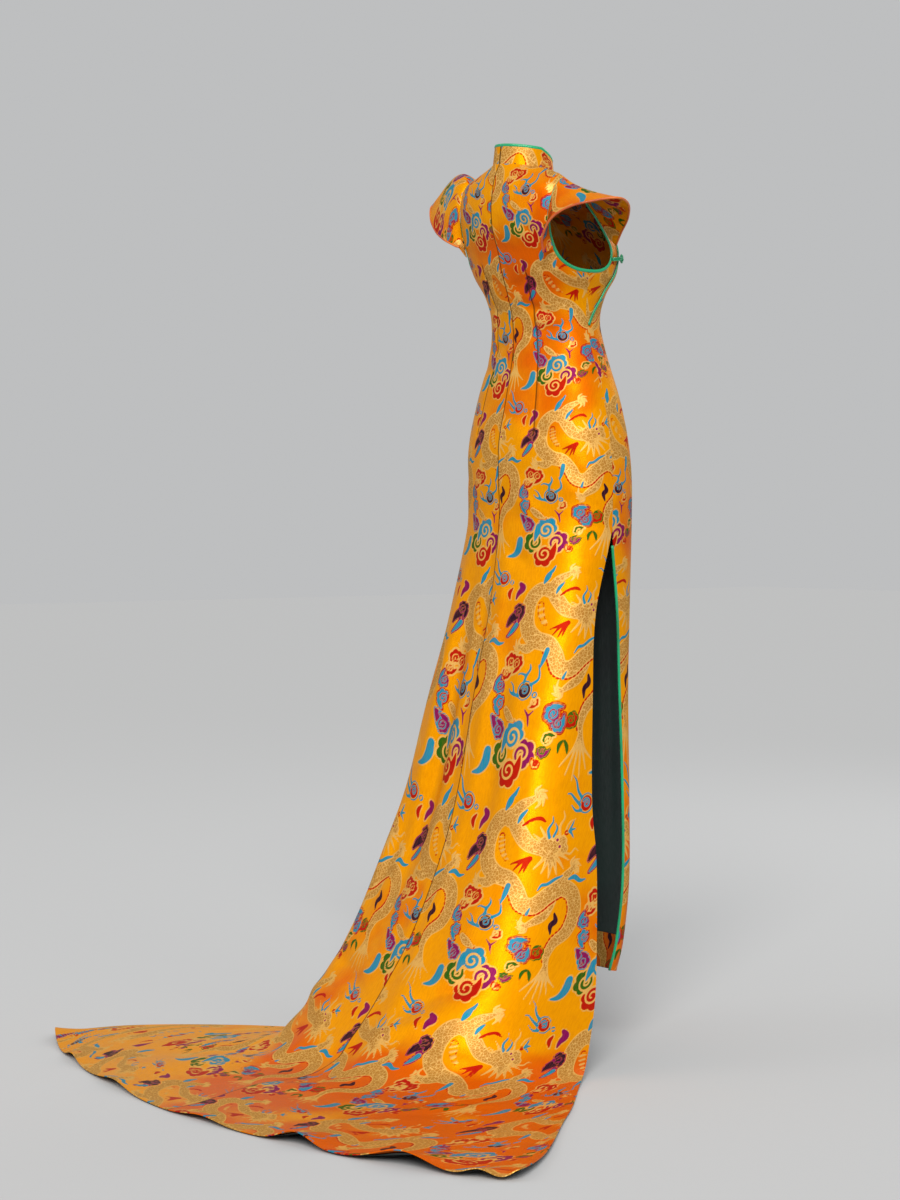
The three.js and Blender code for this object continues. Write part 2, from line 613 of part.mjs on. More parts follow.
function armholeBindings() {
  const upBack = [...ARMHOLE_SHARES].reverse();
  const downFront = ARMHOLE_SHARES.slice(1, -1);
  for (const [name, sign] of [["right", -1], ["left", 1]]) {
    const path = [
      ...upBack.map((share) => armholeAt(sign, share, true)),
      ...downFront.map((share) => armholeAt(sign, share, false)),
    ];
    const steps = path.length;
    const middle = path.reduce((sum, { at }) => sum.add(at), new THREE.Vector3()).divideScalar(steps);
    const stations = path.map(({ at, up }, i) => {
      const before = path[(i + steps - 1) % steps].at;
      const after = path[(i + 1) % steps].at;
      const side = after.clone().sub(before).cross(up).normalize();
      if (side.dot(middle.clone().sub(at)) < 0) side.negate();
      const centre = at.clone().addScaledVector(side, BINDING_WIDE / 2 + 2 * SEAM_GAP);
      return { at: centre.addScaledVector(up, -BROCADE / 2), side, up };
    });
    piece(`armhole_binding_${name}`, strip(stations, BINDING_WIDE, BROCADE + 0.6, true), COLOURS.green, 0.35);
  }
}

// The wing cap sleeves: each a stiff curved leaf from the armhole's seam out to its free edge
function capSleeves() {
  for (const [name, sign] of [["right", -1], ["left", 1]]) {
    const grid = Array.from({ length: CAP_ROWS + 1 }, (_, i) => {
      const share = i / CAP_ROWS;
      const onBack = share <= 0.5;
      const end = onBack ? CAP_ENDS.back : CAP_ENDS.front;
      const { at, up } = armholeAt(sign, -Math.cos(Math.PI * end * Math.abs(2 * share - 1)), onBack);
      const along = share * (CAP_EDGES[name].length - 1);
      const edge = new THREE.Vector3(
        sign * column(CAP_EDGES[name], "out", along),
        column(CAP_EDGES[name], "y", along),
        column(CAP_EDGES[name], "z", along),
      );
      const start = at.clone().addScaledVector(up, CAP_CLEAR + CAP_WALL);
      return Array.from({ length: CAP_COLUMNS + 1 }, (_, j) => {
        const outward = j / CAP_COLUMNS;
        const point = start.clone().lerp(edge, outward);
        point.z += CAP_BULGES[name] * Math.sin(Math.PI * share) * Math.sin(Math.PI * outward ** CAP_SKEW);
        return point;
      });
    });
    const facing = sign < 0 ? -1 : 1;
    const ups = normalsOf(grid).map((row) => row.map((n) => n.multiplyScalar(facing)));
    piece(`cap_sleeve_${name}`, wallBetween(grid, offsetGrid(grid, ups, -CAP_WALL)), COLOURS.brocade);
    const edge = grid.map((row) => row.at(-1));
    const inside = grid.map((row) => row.at(-2));
    const stations = besideEdge(edge, ups.map((row) => row.at(-1)), inside, CAP_PIPING, CAP_WALL / 2);
    piece(`cap_piping_${name}`, strip(stations, CAP_PIPING, CAP_PIPING), COLOURS.brocade);
  }
}

// Green satin piping along the curved opening and down the front edges of both slits
function pipings() {
  const rings = frontRings.filter((ring) => ring < OPENING_END - 0.01);
  const path = rings.map((ring) => frontPoint(openingTurn(ring), ring));
  const ups = rings.map((ring) => normalAt(frontPoint, Math.min(openingTurn(ring), 89), ring));
  const lift = PIPING_CLEAR + PIPING_THICK / 2;
  piece("opening_piping", strip(onSurface(path, ups, lift), PIPING_WIDE, PIPING_THICK), COLOURS.green, 0.35);
  const slitRings = [SLIT_TOP + 0.25, ...FRONT_SKIRT_STOPS];
  for (const [name, sign] of [["right", 1], ["left", -1]]) {
    const edge = slitRings.map((ring) => frontPoint(sign * 90, ring));
    const outs = slitRings.map((ring) => normalAt(frontPoint, sign * 88, ring));
    const inside = slitRings.map((ring) => frontPoint(sign * 80, ring));
    const stations = besideEdge(edge, outs, inside, PIPING_WIDE, BROCADE / 2);
    piece(`slit_piping_${name}`, strip(stations, PIPING_WIDE, BINDING_THICK), COLOURS.green, 0.35);
  }
}

// Frog fastenings: a knot half and a loop half, each a bar of doubled cord sewn down beside the opening
const FROGS = [
  { name: "neck", ring: 0.4, tilt: 0 },
  { name: "chest", ring: 5.3, tilt: 0.1 },
];

function frogHalf(ring, tilt, sign) {
  const stops = [sign < 0 ? 0.02 : 0.2, 0.34, 0.5, 0.68, 0.84, 1];
  const middle = openingTurn(ring);
  const reference = frontPoint(middle, ring).distanceTo(frontPoint(middle + 5, ring)) / 5;
  const resting = FROG_CLEAR + FROG_THICK / 2;
  const stations = stops.map((share) => {
    const turn = middle + (sign * share * FROG_HALF) / reference;
    return { turn, ring: ring + sign * share * tilt };
  });
  const path = stations.map((s) => frontPoint(s.turn, s.ring));
  const ups = stations.map((s) => normalAt(frontPoint, s.turn, s.ring));
  return onSurface(path, ups, 0).map((s, i) => {
    const lift = lerp(FROG_LIFT, resting, smoothstep(stops[i], 0.3, 0.9));
    return { ...s, at: s.at.addScaledVector(s.up, lift) };
  });
}

async function frogs() {
  const wasm = await Module();
  wasm.setup();
  const solid = (geometry) => {
    const plain = geometry.index ? geometry.toNonIndexed() : geometry;
    const corners = plain.getAttribute("position");
    const mesh = new wasm.Mesh({
      numProp: 3,
      vertProperties: new Float32Array(corners.array),
      triVerts: Uint32Array.from({ length: corners.count }, (_, k) => k),
    });
    mesh.merge();
    return new wasm.Manifold(mesh);
  };
  const back = (made) => {
    const mesh = made.getMesh();
    const geometry = new THREE.BufferGeometry();
    geometry.setAttribute("position", new THREE.BufferAttribute(new Float32Array(mesh.vertProperties), 3));
    geometry.setIndex([...mesh.triVerts]);
    return geometry;
  };
  for (const { name, ring, tilt } of FROGS) {
    const knotHalf = frogHalf(ring, tilt, -1);
    const loopHalf = frogHalf(ring, tilt, 1);
    const up = normalAt(frontPoint, openingTurn(ring), ring);
    const centre = frontPoint(openingTurn(ring), ring).addScaledVector(up, FROG_LIFT);
    const ball = new THREE.SphereGeometry(KNOT_RADIUS, 10, 6).translate(centre.x, centre.y, centre.z);
    const knotBar = solid(strip(knotHalf, FROG_WIDE, FROG_THICK));
    piece(`frog_${name}_knot`, back(knotBar.add(solid(ball))), COLOURS.green, 0.35);
    const inner = KNOT_RADIUS + SEAM_GAP;
    const hoop = new THREE.TorusGeometry(inner + LOOP_CORD, LOOP_CORD, 6, 14);
    const turned = new THREE.Quaternion().setFromUnitVectors(new THREE.Vector3(0, 0, 1), up);
    hoop.applyQuaternion(turned).translate(centre.x, centre.y, centre.z);
    const loop = solid(strip(loopHalf, FROG_WIDE, FROG_THICK)).add(solid(hoop));
    const clear = solid(new THREE.SphereGeometry(inner, 12, 8).translate(centre.x, centre.y, centre.z));
    const apart = solid(strip(knotHalf, FROG_WIDE + 1, FROG_THICK + 1));
    piece(`frog_${name}_loop`, back(loop.subtract(clear).subtract(apart)), COLOURS.green, 0.35);
  }
}

backPanels();
backLining();
frontPanels();
frontLining();
collar();
armholeBindings();
capSleeves();
pipings();
await frogs();

gown.position.set(0, -SHOULDER_BACK, -SHOULDER_HEIGHT);

const part = new THREE.Group();
part.name = "qipao";
part.add(gown);

export default part;
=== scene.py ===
# %% [markdown]
# A worn qipao evening gown: gold brocade with dragons and clouds, green satin piping, wing cap sleeves,
# side slits and a fan-shaped train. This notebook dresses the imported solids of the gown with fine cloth
# meshes and woven, procedural finishes. Every length in it is a real one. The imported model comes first,
# because each piece of cloth lies on its solid.

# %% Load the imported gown
import math

import bpy
import numpy as np
from mathutils import Matrix, Vector


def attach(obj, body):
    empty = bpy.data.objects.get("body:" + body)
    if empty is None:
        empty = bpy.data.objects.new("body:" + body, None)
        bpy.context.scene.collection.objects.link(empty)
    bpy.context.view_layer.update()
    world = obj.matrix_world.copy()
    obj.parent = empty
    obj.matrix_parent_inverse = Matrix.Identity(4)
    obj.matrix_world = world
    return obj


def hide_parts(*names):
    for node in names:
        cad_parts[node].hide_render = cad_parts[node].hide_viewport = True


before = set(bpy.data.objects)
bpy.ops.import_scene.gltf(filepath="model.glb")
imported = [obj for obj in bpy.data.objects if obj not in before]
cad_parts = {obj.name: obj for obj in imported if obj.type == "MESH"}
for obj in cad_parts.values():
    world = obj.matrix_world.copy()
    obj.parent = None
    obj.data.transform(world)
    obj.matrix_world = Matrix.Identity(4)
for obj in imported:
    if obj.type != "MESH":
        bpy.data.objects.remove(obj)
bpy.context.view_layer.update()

# %% [markdown]
# The cutter's tables are in millimetres, with heights measured from the floor, because a maker reads a
# gown that way. Blender's objects are in metres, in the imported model's own frame, whose origin lies
# between the shoulder seams. One small function turns the first into the second.

# %% Units and places
SHOULDER_BACK = 60
SHOULDER_HEIGHT = 1443
FLOOR = -SHOULDER_HEIGHT / 1000
BROCADE = 1.6


def to_frame(points):
    """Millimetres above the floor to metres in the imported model's frame."""
    return (np.asarray(points, float) - (0, SHOULDER_BACK, SHOULDER_HEIGHT)) / 1000


print("floor lies at", FLOOR, "m")

# %% [markdown]
# The camera stands behind the gown and to its right side, a little below chest height, with a portrait
# lens. It looks very slightly down, and needs no shift. A sun lamp with a wide disc works like a large
# window on the upper left: it draws the yellow sheen down the back of the skirt, and its shadows stay
# soft. Small area lamps would do that too, but a sun is as strong on the train as on the shoulders. Three
# weak soft panels lift the shadows, and the room's light is close to the lit floor's, so the floor runs
# into the background without a hard horizon.

# %% Camera, lights and floor
VIEW_TURN = 52.0
VIEW_TILT = 1.84
CAMERA_PLACE = (-3642, 3055, 900)
KEY_FROM = (-0.72, 0.62, 0.62)
KEY_STRENGTH = 3.7
ROOM_LIGHT = 0.52

forward = Vector((math.sin(math.radians(VIEW_TURN)), -math.cos(math.radians(VIEW_TURN)), 0))
across = Vector((-math.cos(math.radians(VIEW_TURN)), -math.sin(math.radians(VIEW_TURN)), 0))
tilt = math.radians(VIEW_TILT)
looking = forward * math.cos(tilt) - Vector((0, 0, math.sin(tilt)))
upward = Vector((0, 0, math.cos(tilt))) + forward * math.sin(tilt)

camera_data = bpy.data.cameras.new("studio_camera")
camera_data.lens = 85
camera_data.sensor_width = 36
camera = bpy.data.objects.new("studio_camera", camera_data)
turned = Matrix((across, upward, -looking)).transposed().to_4x4()
camera.matrix_world = Matrix.Translation(Vector(to_frame(CAMERA_PLACE))) @ turned
bpy.context.scene.collection.objects.link(camera)
bpy.context.scene.camera = camera


def soft_panel(name, place, target, size, power):
    """A square soft light at a place in millimetres above the floor, aimed at another."""
    data = bpy.data.lights.new(name, "AREA")
    data.shape = "SQUARE"
    data.size = size
    data.energy = power
    light = bpy.data.objects.new(name, data)
    start = Vector(to_frame(place))
    aim = Vector(to_frame(target)) - start
    light.matrix_world = Matrix.Translation(start) @ aim.to_track_quat("-Z", "Y").to_matrix().to_4x4()
    bpy.context.scene.collection.objects.link(light)


key_data = bpy.data.lights.new("window_key", "SUN")
key_data.energy = KEY_STRENGTH
key_data.angle = math.radians(28)
key_data.color = (1.0, 0.98, 0.95)
key = bpy.data.objects.new("window_key", key_data)
key.rotation_euler = Vector(KEY_FROM).to_track_quat("Z", "Y").to_euler()
bpy.context.scene.collection.objects.link(key)
soft_panel("left_panel", (1700, 4400, 2900), (100, 150, 500), 1.8, 26)
soft_panel("right_panel", (-4600, 300, 2900), (0, 100, 700), 1.8, 26)
soft_panel("front_panel", (1200, -3800, 3100), (0, 0, 500), 2.2, 24)

world = bpy.data.worlds.new("pale_room")
world.use_nodes = True
world.node_tree.nodes["Background"].inputs["Color"].default_value = (0.99, 1.0, 1.01, 1)
world.node_tree.nodes["Background"].inputs["Strength"].default_value = ROOM_LIGHT
bpy.context.scene.world = world
bpy.context.scene.view_settings.view_transform = "Standard"
print("camera at", [round(v, 3) for v in camera.matrix_world.translation])

# %% [markdown]
# A gown is a stack of body measurements. Each table row is one ring round the body: how wide it is, where
# the side seam, the centre back and the centre front lie, and how square the ring is. These are the same
# rings that the solids are made from. Below the slits the back has its own rows, which sweep out over the
# floor as the train, and the front has rows that hang straight.

# %% The rings of the gown
RING_COLUMNS = ("half", "side_y", "side_z", "middle_y", "middle_z", "square")

BODICE_BACK = [
    (50, 55, 1464, 106, 1468, 2.0),
    (84, 61, 1456, 116, 1446, 2.2),
    (116, 66, 1443, 121, 1422, 2.5),
    (126, 59, 1402, 124, 1394, 2.7),
    (131, 47, 1362, 121, 1360, 2.6),
    (136, 35, 1326, 110, 1326, 2.4),
    (131, 24, 1290, 101, 1290, 2.3),
    (113, 13, 1252, 88, 1252, 2.2),
    (107, 9, 1212, 78, 1212, 2.2),
    (116, 5, 1160, 77, 1160, 2.2),
    (143, 3, 1082, 92, 1082, 2.2),
    (157, 1, 1012, 107, 1012, 2.2),
    (163, 0, 948, 108, 948, 2.2),
    (162, 0, 870, 108, 874, 2.2),
]
BODICE_FRONT_MIDDLE = [
    (3, 1442), (-14, 1422), (-36, 1400), (-62, 1378), (-84, 1350), (-97, 1322), (-96, 1288),
    (-77, 1252), (-65, 1212), (-73, 1160), (-90, 1082), (-103, 1012), (-108, 948), (-109, 870),
]
TRAIN = [
    (165, 38, 730, 128, 735, 2.6),
    (175, 53, 590, 158, 600, 3.2),
    (190, 67, 430, 192, 440, 3.6),
    (206, 71, 330, 228, 330, 4.0),
    (225, 87, 195, 285, 215, 4.0),
    (240, 104, 110, 345, 130, 4.0),
    (262, 140, 25, 405, 60, 3.6),
    (320, 205, 4, 470, 12, 3.2),
    (450, 335, 4, 560, 4, 3.0),
    (590, 500, 4, 670, 4, 2.4),
    (660, 622, 4, 795, 4, 1.6),
]
FRONT_SKIRT = [
    (145, -28, 735, -102, 735, 2.3),
    (132, -45, 600, -101, 600, 2.3),
    (131, -53, 432, -100, 432, 2.3),
    (131, -54, 290, -100, 290, 2.3),
    (124, -47, 187, -94, 184, 2.3),
    (116, -38, 134, -84, 126, 2.3),
]
BODICE_FRONT = [
    (half, side_y, side_z, y, z, square)
    for (half, side_y, side_z, _, _, square), (y, z) in zip(BODICE_BACK, BODICE_FRONT_MIDDLE)
]
SLIT_TOP = len(BODICE_BACK) - 1
BACK_RINGS = np.array(BODICE_BACK + TRAIN, float)
FRONT_RINGS = np.array(BODICE_FRONT + FRONT_SKIRT, float)
TRAIN_HEM = len(BACK_RINGS) - 1
FRONT_HEM = len(FRONT_RINGS) - 1
print("rings: back", len(BACK_RINGS), "front", len(FRONT_RINGS))

# %% [markdown]
# Between two rings the cloth runs in a smooth curve, so a column of the table is read as a cubic curve
# through its numbers. Above the slits the front and the back share the side seam, so both read it from the
# bodice alone.

# %% Smooth curves through a table


def smooth(values, at):
    """Values of a smooth curve through a list, at places that needn't be whole numbers."""
    values = np.asarray(values, float)
    last = len(values) - 1
    at = np.clip(at, 0, last)
    i = np.minimum(np.floor(at).astype(int), last - 1)
    t = at - i
    slopes = np.gradient(values)
    a = 2 * values[i] - 2 * values[i + 1] + slopes[i] + slopes[i + 1]
    b = 3 * values[i + 1] - 3 * values[i] - 2 * slopes[i] - slopes[i + 1]
    return ((a * t + b) * t + slopes[i]) * t + values[i]


def ring_values(rings, at):
    """Each column of a ring table at the given ring numbers."""
    found = {}
    for k, name in enumerate(RING_COLUMNS):
        found[name] = smooth(rings[:, k], at)
        if name in ("half", "side_y", "side_z"):
            found[name] = np.where(at <= SLIT_TOP, smooth(rings[: SLIT_TOP + 1, k], at), found[name])
    return found


def step(x, low, high):
    """Rises smoothly from 0 to 1 between low and high."""
    x = np.clip((x - low) / (high - low), 0, 1)
    return x * x * (3 - 2 * x)


def bell(distance, wide):
    """Falls smoothly from 1 to nothing as distance grows past wide."""
    return np.exp(-((distance / wide) ** 2))


def run_along(line):
    """Length along a line of points, up to each of them."""
    return np.concatenate([[0], np.cumsum(np.linalg.norm(np.diff(line, axis=0), axis=1))])


print("half width at the waist:", round(float(smooth(BACK_RINGS[:, 0], 8.0)), 1), "mm")

# %% [markdown]
# The heavy brocade hangs in a few long soft folds, and its hem rolls up off the floor in waves that let
# the green lining show. Simulated cloth would drape well but never land on the same outline twice, so the
# folds are listed: each has a start and an end ring, its place in degrees from the centre back, a
# height and a width.

# %% Folds and hem waves
BACK_FOLDS = [
    dict(start=12.5, end=19, turn=(2, 8), rise=5, wide=7),
    dict(start=13, end=20, turn=(20, 27), rise=-9, wide=9),
    dict(start=13.5, end=21.5, turn=(-36, -30), rise=6, wide=11),
    dict(start=15, end=22.5, turn=(42, 44), rise=9, wide=9),
    dict(start=17, end=22.5, turn=(-12, -14), rise=7, wide=7),
    dict(start=19, end=24.5, turn=(20, 24), rise=9, wide=7),
]
HEM_WAVES = [
    dict(turn=-90, rise=13, wide=5, reach=2.6),
    dict(turn=-76, rise=12, wide=5, reach=1.1),
    dict(turn=-56, rise=22, wide=9, reach=1.4),
    dict(turn=-30, rise=19, wide=5, reach=1.6),
    dict(turn=-8, rise=8, wide=5, reach=1.1),
    dict(turn=18, rise=10, wide=6, reach=1.2),
    dict(turn=44, rise=12, wide=6, reach=1.4),
    dict(turn=72, rise=18, wide=9, reach=1.5),
]
HEM_CURL = 2.4
SWING = dict(rings=1.8, shift=70, slope=0.055)
SHOULDER_TILT = dict(slope=0.05, start=2, end=6)


def back_fold(turn, ring):
    """How far the long folds push the back out, in millimetres."""
    push = 0
    for fold in BACK_FOLDS:
        along = (ring - fold["start"]) / (fold["end"] - fold["start"])
        middle = fold["turn"][0] + (fold["turn"][1] - fold["turn"][0]) * np.clip(along, 0, 1)
        fade = step(along, 0, 0.4) * (1 - step(along, 0.75, 1))
        push = push + fold["rise"] * fade * bell(turn - middle, fold["wide"])
    return push


def hem_lift(turn, ring):
    """How far the train's hem rises off the floor, in millimetres."""
    lift = 0
    for wave in HEM_WAVES:
        near = np.clip(1 - (TRAIN_HEM - ring) / wave["reach"], 0, 1)
        lift = lift + wave["rise"] * near**HEM_CURL * bell(turn - wave["turn"], wave["wide"])
    return lift


print("folds:", len(BACK_FOLDS), "hem waves:", len(HEM_WAVES))

# %% [markdown]
# With the rings and the folds, any place on the gown is found from two numbers: a turn in degrees round
# the body, and a ring number down it. A subdivision surface could be modelled by hand instead, but a
# function keeps the cloth on its solid exactly, and every panel, strip and frog can ask it for points. On
# the floor a fold lifts the cloth, and above it the fold pushes outwards.

# %% The surfaces of the back and the front


def around_ring(turn, square):
    """Shares of a ring's half width and depth at a turn in degrees."""
    angle = np.radians(np.clip(turn, -90, 90))
    x, y = np.sin(angle), np.cos(angle)
    reach = (np.abs(x) ** square + np.abs(y) ** square) ** (-1 / square)
    return x * reach, y * reach


def shoulder_lift(x, ring):
    """The gown's left shoulder is raised, and this slope fades out down the bodice."""
    return x * SHOULDER_TILT["slope"] * (1 - step(ring, SHOULDER_TILT["start"], SHOULDER_TILT["end"]))


def back_surface(turn, ring):
    """Points on the back, in millimetres. turn is + towards the gown's left of the centre back."""
    v = ring_values(BACK_RINGS, ring)
    side, deep = around_ring(turn, v["square"])
    angle = np.radians(turn)
    flat = step(ring, SLIT_TOP + 4, SLIT_TOP + 7.5)
    fold = back_fold(turn, ring)
    swing = step(ring, TRAIN_HEM - SWING["rings"], TRAIN_HEM)
    x = v["half"] * side + fold * (1 - flat) * np.sin(angle) - SWING["shift"] * swing
    y = v["side_y"] + (v["middle_y"] - v["side_y"]) * deep + fold * (1 - flat) * np.cos(angle)
    z = v["side_z"] + (v["middle_z"] - v["side_z"]) * deep + shoulder_lift(x, ring)
    y = y - SWING["slope"] * swing * x
    z = z + np.maximum(fold, 0) * flat + hem_lift(turn, ring)
    return np.stack([x, y, z], -1)


def front_surface(turn, ring):
    """Points on the front, in millimetres. turn is + towards the gown's right of the centre front."""
    v = ring_values(FRONT_RINGS, ring)
    side, deep = around_ring(turn, v["square"])
    y = v["side_y"] + (v["middle_y"] - v["side_y"]) * deep
    x = -v["half"] * side
    z = v["side_z"] + (v["middle_z"] - v["side_z"]) * deep + shoulder_lift(x, ring)
    return np.stack([x, y, z], -1)


def normals_of(points):
    """Outward normals of a grid of points."""
    side = np.gradient(points, axis=1)
    down = np.gradient(points, axis=0)
    normal = np.cross(side, down)
    return normal / np.maximum(np.linalg.norm(normal, axis=-1, keepdims=True), 1e-9)


print("centre back at the hip:", back_surface(0.0, np.array([12.0])).round(1))

# %% [markdown]
# The armholes are ovals cut across the side seams, and the front opening is a curve from the collar, over
# the right bust, to the side seam above the hip. Both are given in ring numbers and degrees, so that the
# panels, the bindings, the sleeves and the frogs all follow the same line.

# %% Armholes and the curved opening
ARMHOLE = dict(tip=2, base=6.1, back=38, front=28, full=2.6, low=0.2)
ARMHOLE_MIDDLE = (ARMHOLE["tip"] + ARMHOLE["base"]) / 2
ARMHOLE_HALF = (ARMHOLE["base"] - ARMHOLE["tip"]) / 2
OPENING_RINGS = np.array([0, 0.6, 1.3, 2, 3, 4, 5, 6, 7, 7.6, 8.3])
OPENING_TURNS = np.array([0, 10, 22, 32, 42, 47, 50, 56, 65, 75, 90])


def side_turn(ring, reach):
    """Degrees from the middle to the side edge of a panel: 90, or less where the armhole is cut away."""
    share = np.clip((ring - ARMHOLE_MIDDLE) / ARMHOLE_HALF, -1, 1)
    full = ARMHOLE["full"]
    cut = reach * (1 - np.abs(share) ** full) ** (1 / full) * (1 + ARMHOLE["low"] * share)
    return 90 - cut


def opening_turn(ring):
    """Degrees from the centre front to the curved opening."""
    place = np.interp(ring, OPENING_RINGS, np.arange(len(OPENING_RINGS)))
    return np.clip(smooth(OPENING_TURNS, place), 0, 90)


print("opening ends at ring", OPENING_RINGS[-1])

# %% [markdown]
# The brocade's figures are a straight repeat: a scaled dragon, flaming pearls, and small curled clouds in
# red, blue, green and purple, most with a tan outline. An image texture isn't used here, and thousands of
# shader nodes would be slow, so the repeat is drawn once as distance fields, one for each thread colour. A
# distance field says how far a point is from the edge of a coloured area. It stays smooth between the
# points of a mesh, so the shader can cut a sharp edge from it. Each stroke is a chain of circles, laid
# down in the weaver's order: a new colour covers what lies under it.

# %% The weaver's tools
REPEAT_WIDE = 235.0
REPEAT_HIGH = 350.0
CHART_STEP = 1.0
THREADS = ("tan", "red", "blue", "green", "plum", "dark")
CIRCLE_STEP = 0.8
FAR = 9.0
CHART_ROWS = int(REPEAT_HIGH / CHART_STEP)
CHART_COLUMNS = int(REPEAT_WIDE / CHART_STEP)
chart = {thread: np.full((CHART_ROWS, CHART_COLUMNS), FAR) for thread in THREADS}


def distance_to(circles):
    """Distance from each place in the repeat to the nearest circle's edge, less than 0 inside."""
    nearest = np.full((CHART_ROWS, CHART_COLUMNS), FAR)
    for u, v, r in circles:
        reach = int((r + FAR) / CHART_STEP) + 1
        columns = np.arange(int(u) - reach, int(u) + reach + 1)
        rows = np.arange(int(v) - reach, int(v) + reach + 1)
        away = np.hypot(columns[None, :] * CHART_STEP - u, rows[:, None] * CHART_STEP - v) - r
        place = np.ix_(rows % CHART_ROWS, columns % CHART_COLUMNS)
        nearest[place] = np.minimum(nearest[place], away)
    return nearest


def weave(thread, circles, grow=0.0):
    """Lays one colour over what is there; the colour None bares the ground again."""
    area = distance_to(circles) - grow
    for name in THREADS:
        if name == thread:
            chart[name] = np.minimum(chart[name], area)
        else:
            chart[name] = np.maximum(chart[name], -area)


def stroke(points, widths):
    """Circles along a smooth line through points, with its half width at even steps along them."""
    points = np.asarray(points, float)
    widths = np.interp(np.linspace(0, 1, len(points)), np.linspace(0, 1, len(widths)), widths)
    dense = np.linspace(0, len(points) - 1, 24 * (len(points) - 1) + 1)
    line = np.stack([smooth(points[:, 0], dense), smooth(points[:, 1], dense), smooth(widths, dense)], -1)
    length = run_along(line[:, :2])
    at = np.linspace(0, length[-1], max(2, int(length[-1] / CIRCLE_STEP) + 1))
    return np.stack([np.interp(at, length, line[:, k]) for k in range(3)], -1)


def curl(u, v, radius, turns, start, wide, hand=1):
    """A spiral stroke that winds in from its outer end."""
    share = np.linspace(0, 1, int(8 + 12 * turns))
    angle = math.radians(start) + hand * share * turns * 2 * math.pi
    reach = radius * (1 - 0.82 * share)
    line = np.stack([u + reach * np.cos(angle), v + reach * np.sin(angle)], -1)
    return stroke(line, [wide, wide, wide * 0.8])


# Puffs of a cloud head, each (degrees, distance out, radius), in shares of the head's size
CLOUD_PUFFS = [
    (-118, 0.46, 0.26), (-78, 0.62, 0.33), (-30, 0.70, 0.38), (22, 0.72, 0.38), (72, 0.66, 0.34),
]


def cloud_head(u, v, size, turn, hand):
    """Circles of a cloud head: puffs round the side that faces turn, and a tip that trails off one end."""

    def at(angle, reach):
        """A place by its angle from the head's facing and its distance out."""
        a = math.radians(turn + hand * angle)
        return u + size * reach * math.cos(a), v + size * reach * math.sin(a)

    puffs = [(*at(angle, reach), size * big) for angle, reach, big in CLOUD_PUFFS]
    tip_line = [at(72, 0.66), at(112, 0.86), at(136, 1.3)]
    tip = stroke(tip_line, [size * 0.34, size * 0.24, size * 0.05])
    return puffs + [(u, v, size * 0.6)] + [tuple(circle) for circle in tip]


def clouds(thread, heads, outline="tan", border=2.6):
    """Cloud heads of one colour and outline, each (u, v, size, turn, hand), with a curl in each."""
    shapes = [cloud_head(*head) for head in heads]
    for shape in shapes:
        weave(outline, shape, border)
    for shape in shapes:
        weave(thread, shape)
    for u, v, size, turn, hand in heads:
        weave(outline, curl(u, v, size * 0.68, 1.5, turn + 180, max(1.2, size * 0.085), hand))


def tail(thread, line, widths, outline="tan", border=2.2):
    """A drop or wisp of cloud along a line, with its outline."""
    weave(outline, stroke(line, widths), border)
    weave(thread, stroke(line, widths))


print("chart:", CHART_ROWS, "by", CHART_COLUMNS, "places")

# %% [markdown]
# The dragon is one long tapering stroke with scales, four short legs with claws, a maned head and a
# feathered tail. Its belly edge is picked out in short red stitches. The scales themselves are finer than
# the mesh, so they are left to the shader.

# %% Weave the dragon
SPINE = [
    (226, 92), (206, 84), (190, 66), (176, 48), (156, 46), (139, 62), (133, 88), (140, 116), (160, 134),
    (184, 142), (200, 160), (212, 180), (232, 182), (254, 164), (278, 152), (300, 162), (308, 190),
    (298, 220), (276, 240), (268, 262), (272, 278),
]
BODY = [
    10, 12, 12.5, 12.5, 14, 15, 16, 15.5, 14.5, 14, 14, 14, 14, 14, 14, 14, 13.5, 12, 9.5, 7, 4,
]


def claws(u, v, angles, reach):
    """Curved claws that spread from a paw."""
    for angle in angles:
        a = math.radians(angle)
        bend = math.radians(angle + 34)
        mid = (u + 0.6 * reach * math.cos(a), v + 0.6 * reach * math.sin(a))
        end = (u + reach * math.cos(bend), v + reach * math.sin(bend))
        weave("tan", stroke([(u, v), mid, end], [3.0, 2.3, 1.1]))


# Legs go under the body
for limb, paw, angles in [
    ([(172, 50), (186, 30), (206, 18)], (210, 15), (-110, -65, -25, 15, 60)),
    ([(164, 134), (148, 148), (132, 146)], (130, 145), (110, 150, 190, 235)),
    ([(262, 158), (278, 138), (292, 122)], (294, 119), (-120, -80, -40, 5, 45)),
    ([(262, 166), (250, 196), (228, 212)], (224, 214), (90, 130, 170, 205)),
]:
    weave("tan", stroke(limb, [11, 9, 5]))
    claws(*paw, angles, 17)

# The tail's long hairs
for end in [(238, 322), (250, 334), (264, 342), (278, 338), (290, 326), (300, 312)]:
    root = (271, 272)
    weave("tan", stroke([root, ((root[0] * 2 + end[0]) / 3 + 1, 296), end], [3.0, 2.2, 1.2]))
spine = stroke(SPINE, BODY)
weave("tan", spine)

# The gap that shows inside the neck's loop, and its red stitches
gap = [(160, 74), (163, 92), (174, 110)]
weave("red", stroke(gap, [6.5, 6.5, 3.5]))
weave(None, stroke(gap, [3.9, 3.9, 1.6]))
for share in np.linspace(0.02, 0.98, 9):
    u, v = np.array([smooth([p[k] for p in gap], 2 * share) for k in (0, 1)])
    weave("tan", stroke([(u - 7, v - 1.5), (u + 7, v + 1.5)], [0.9, 0.9]))

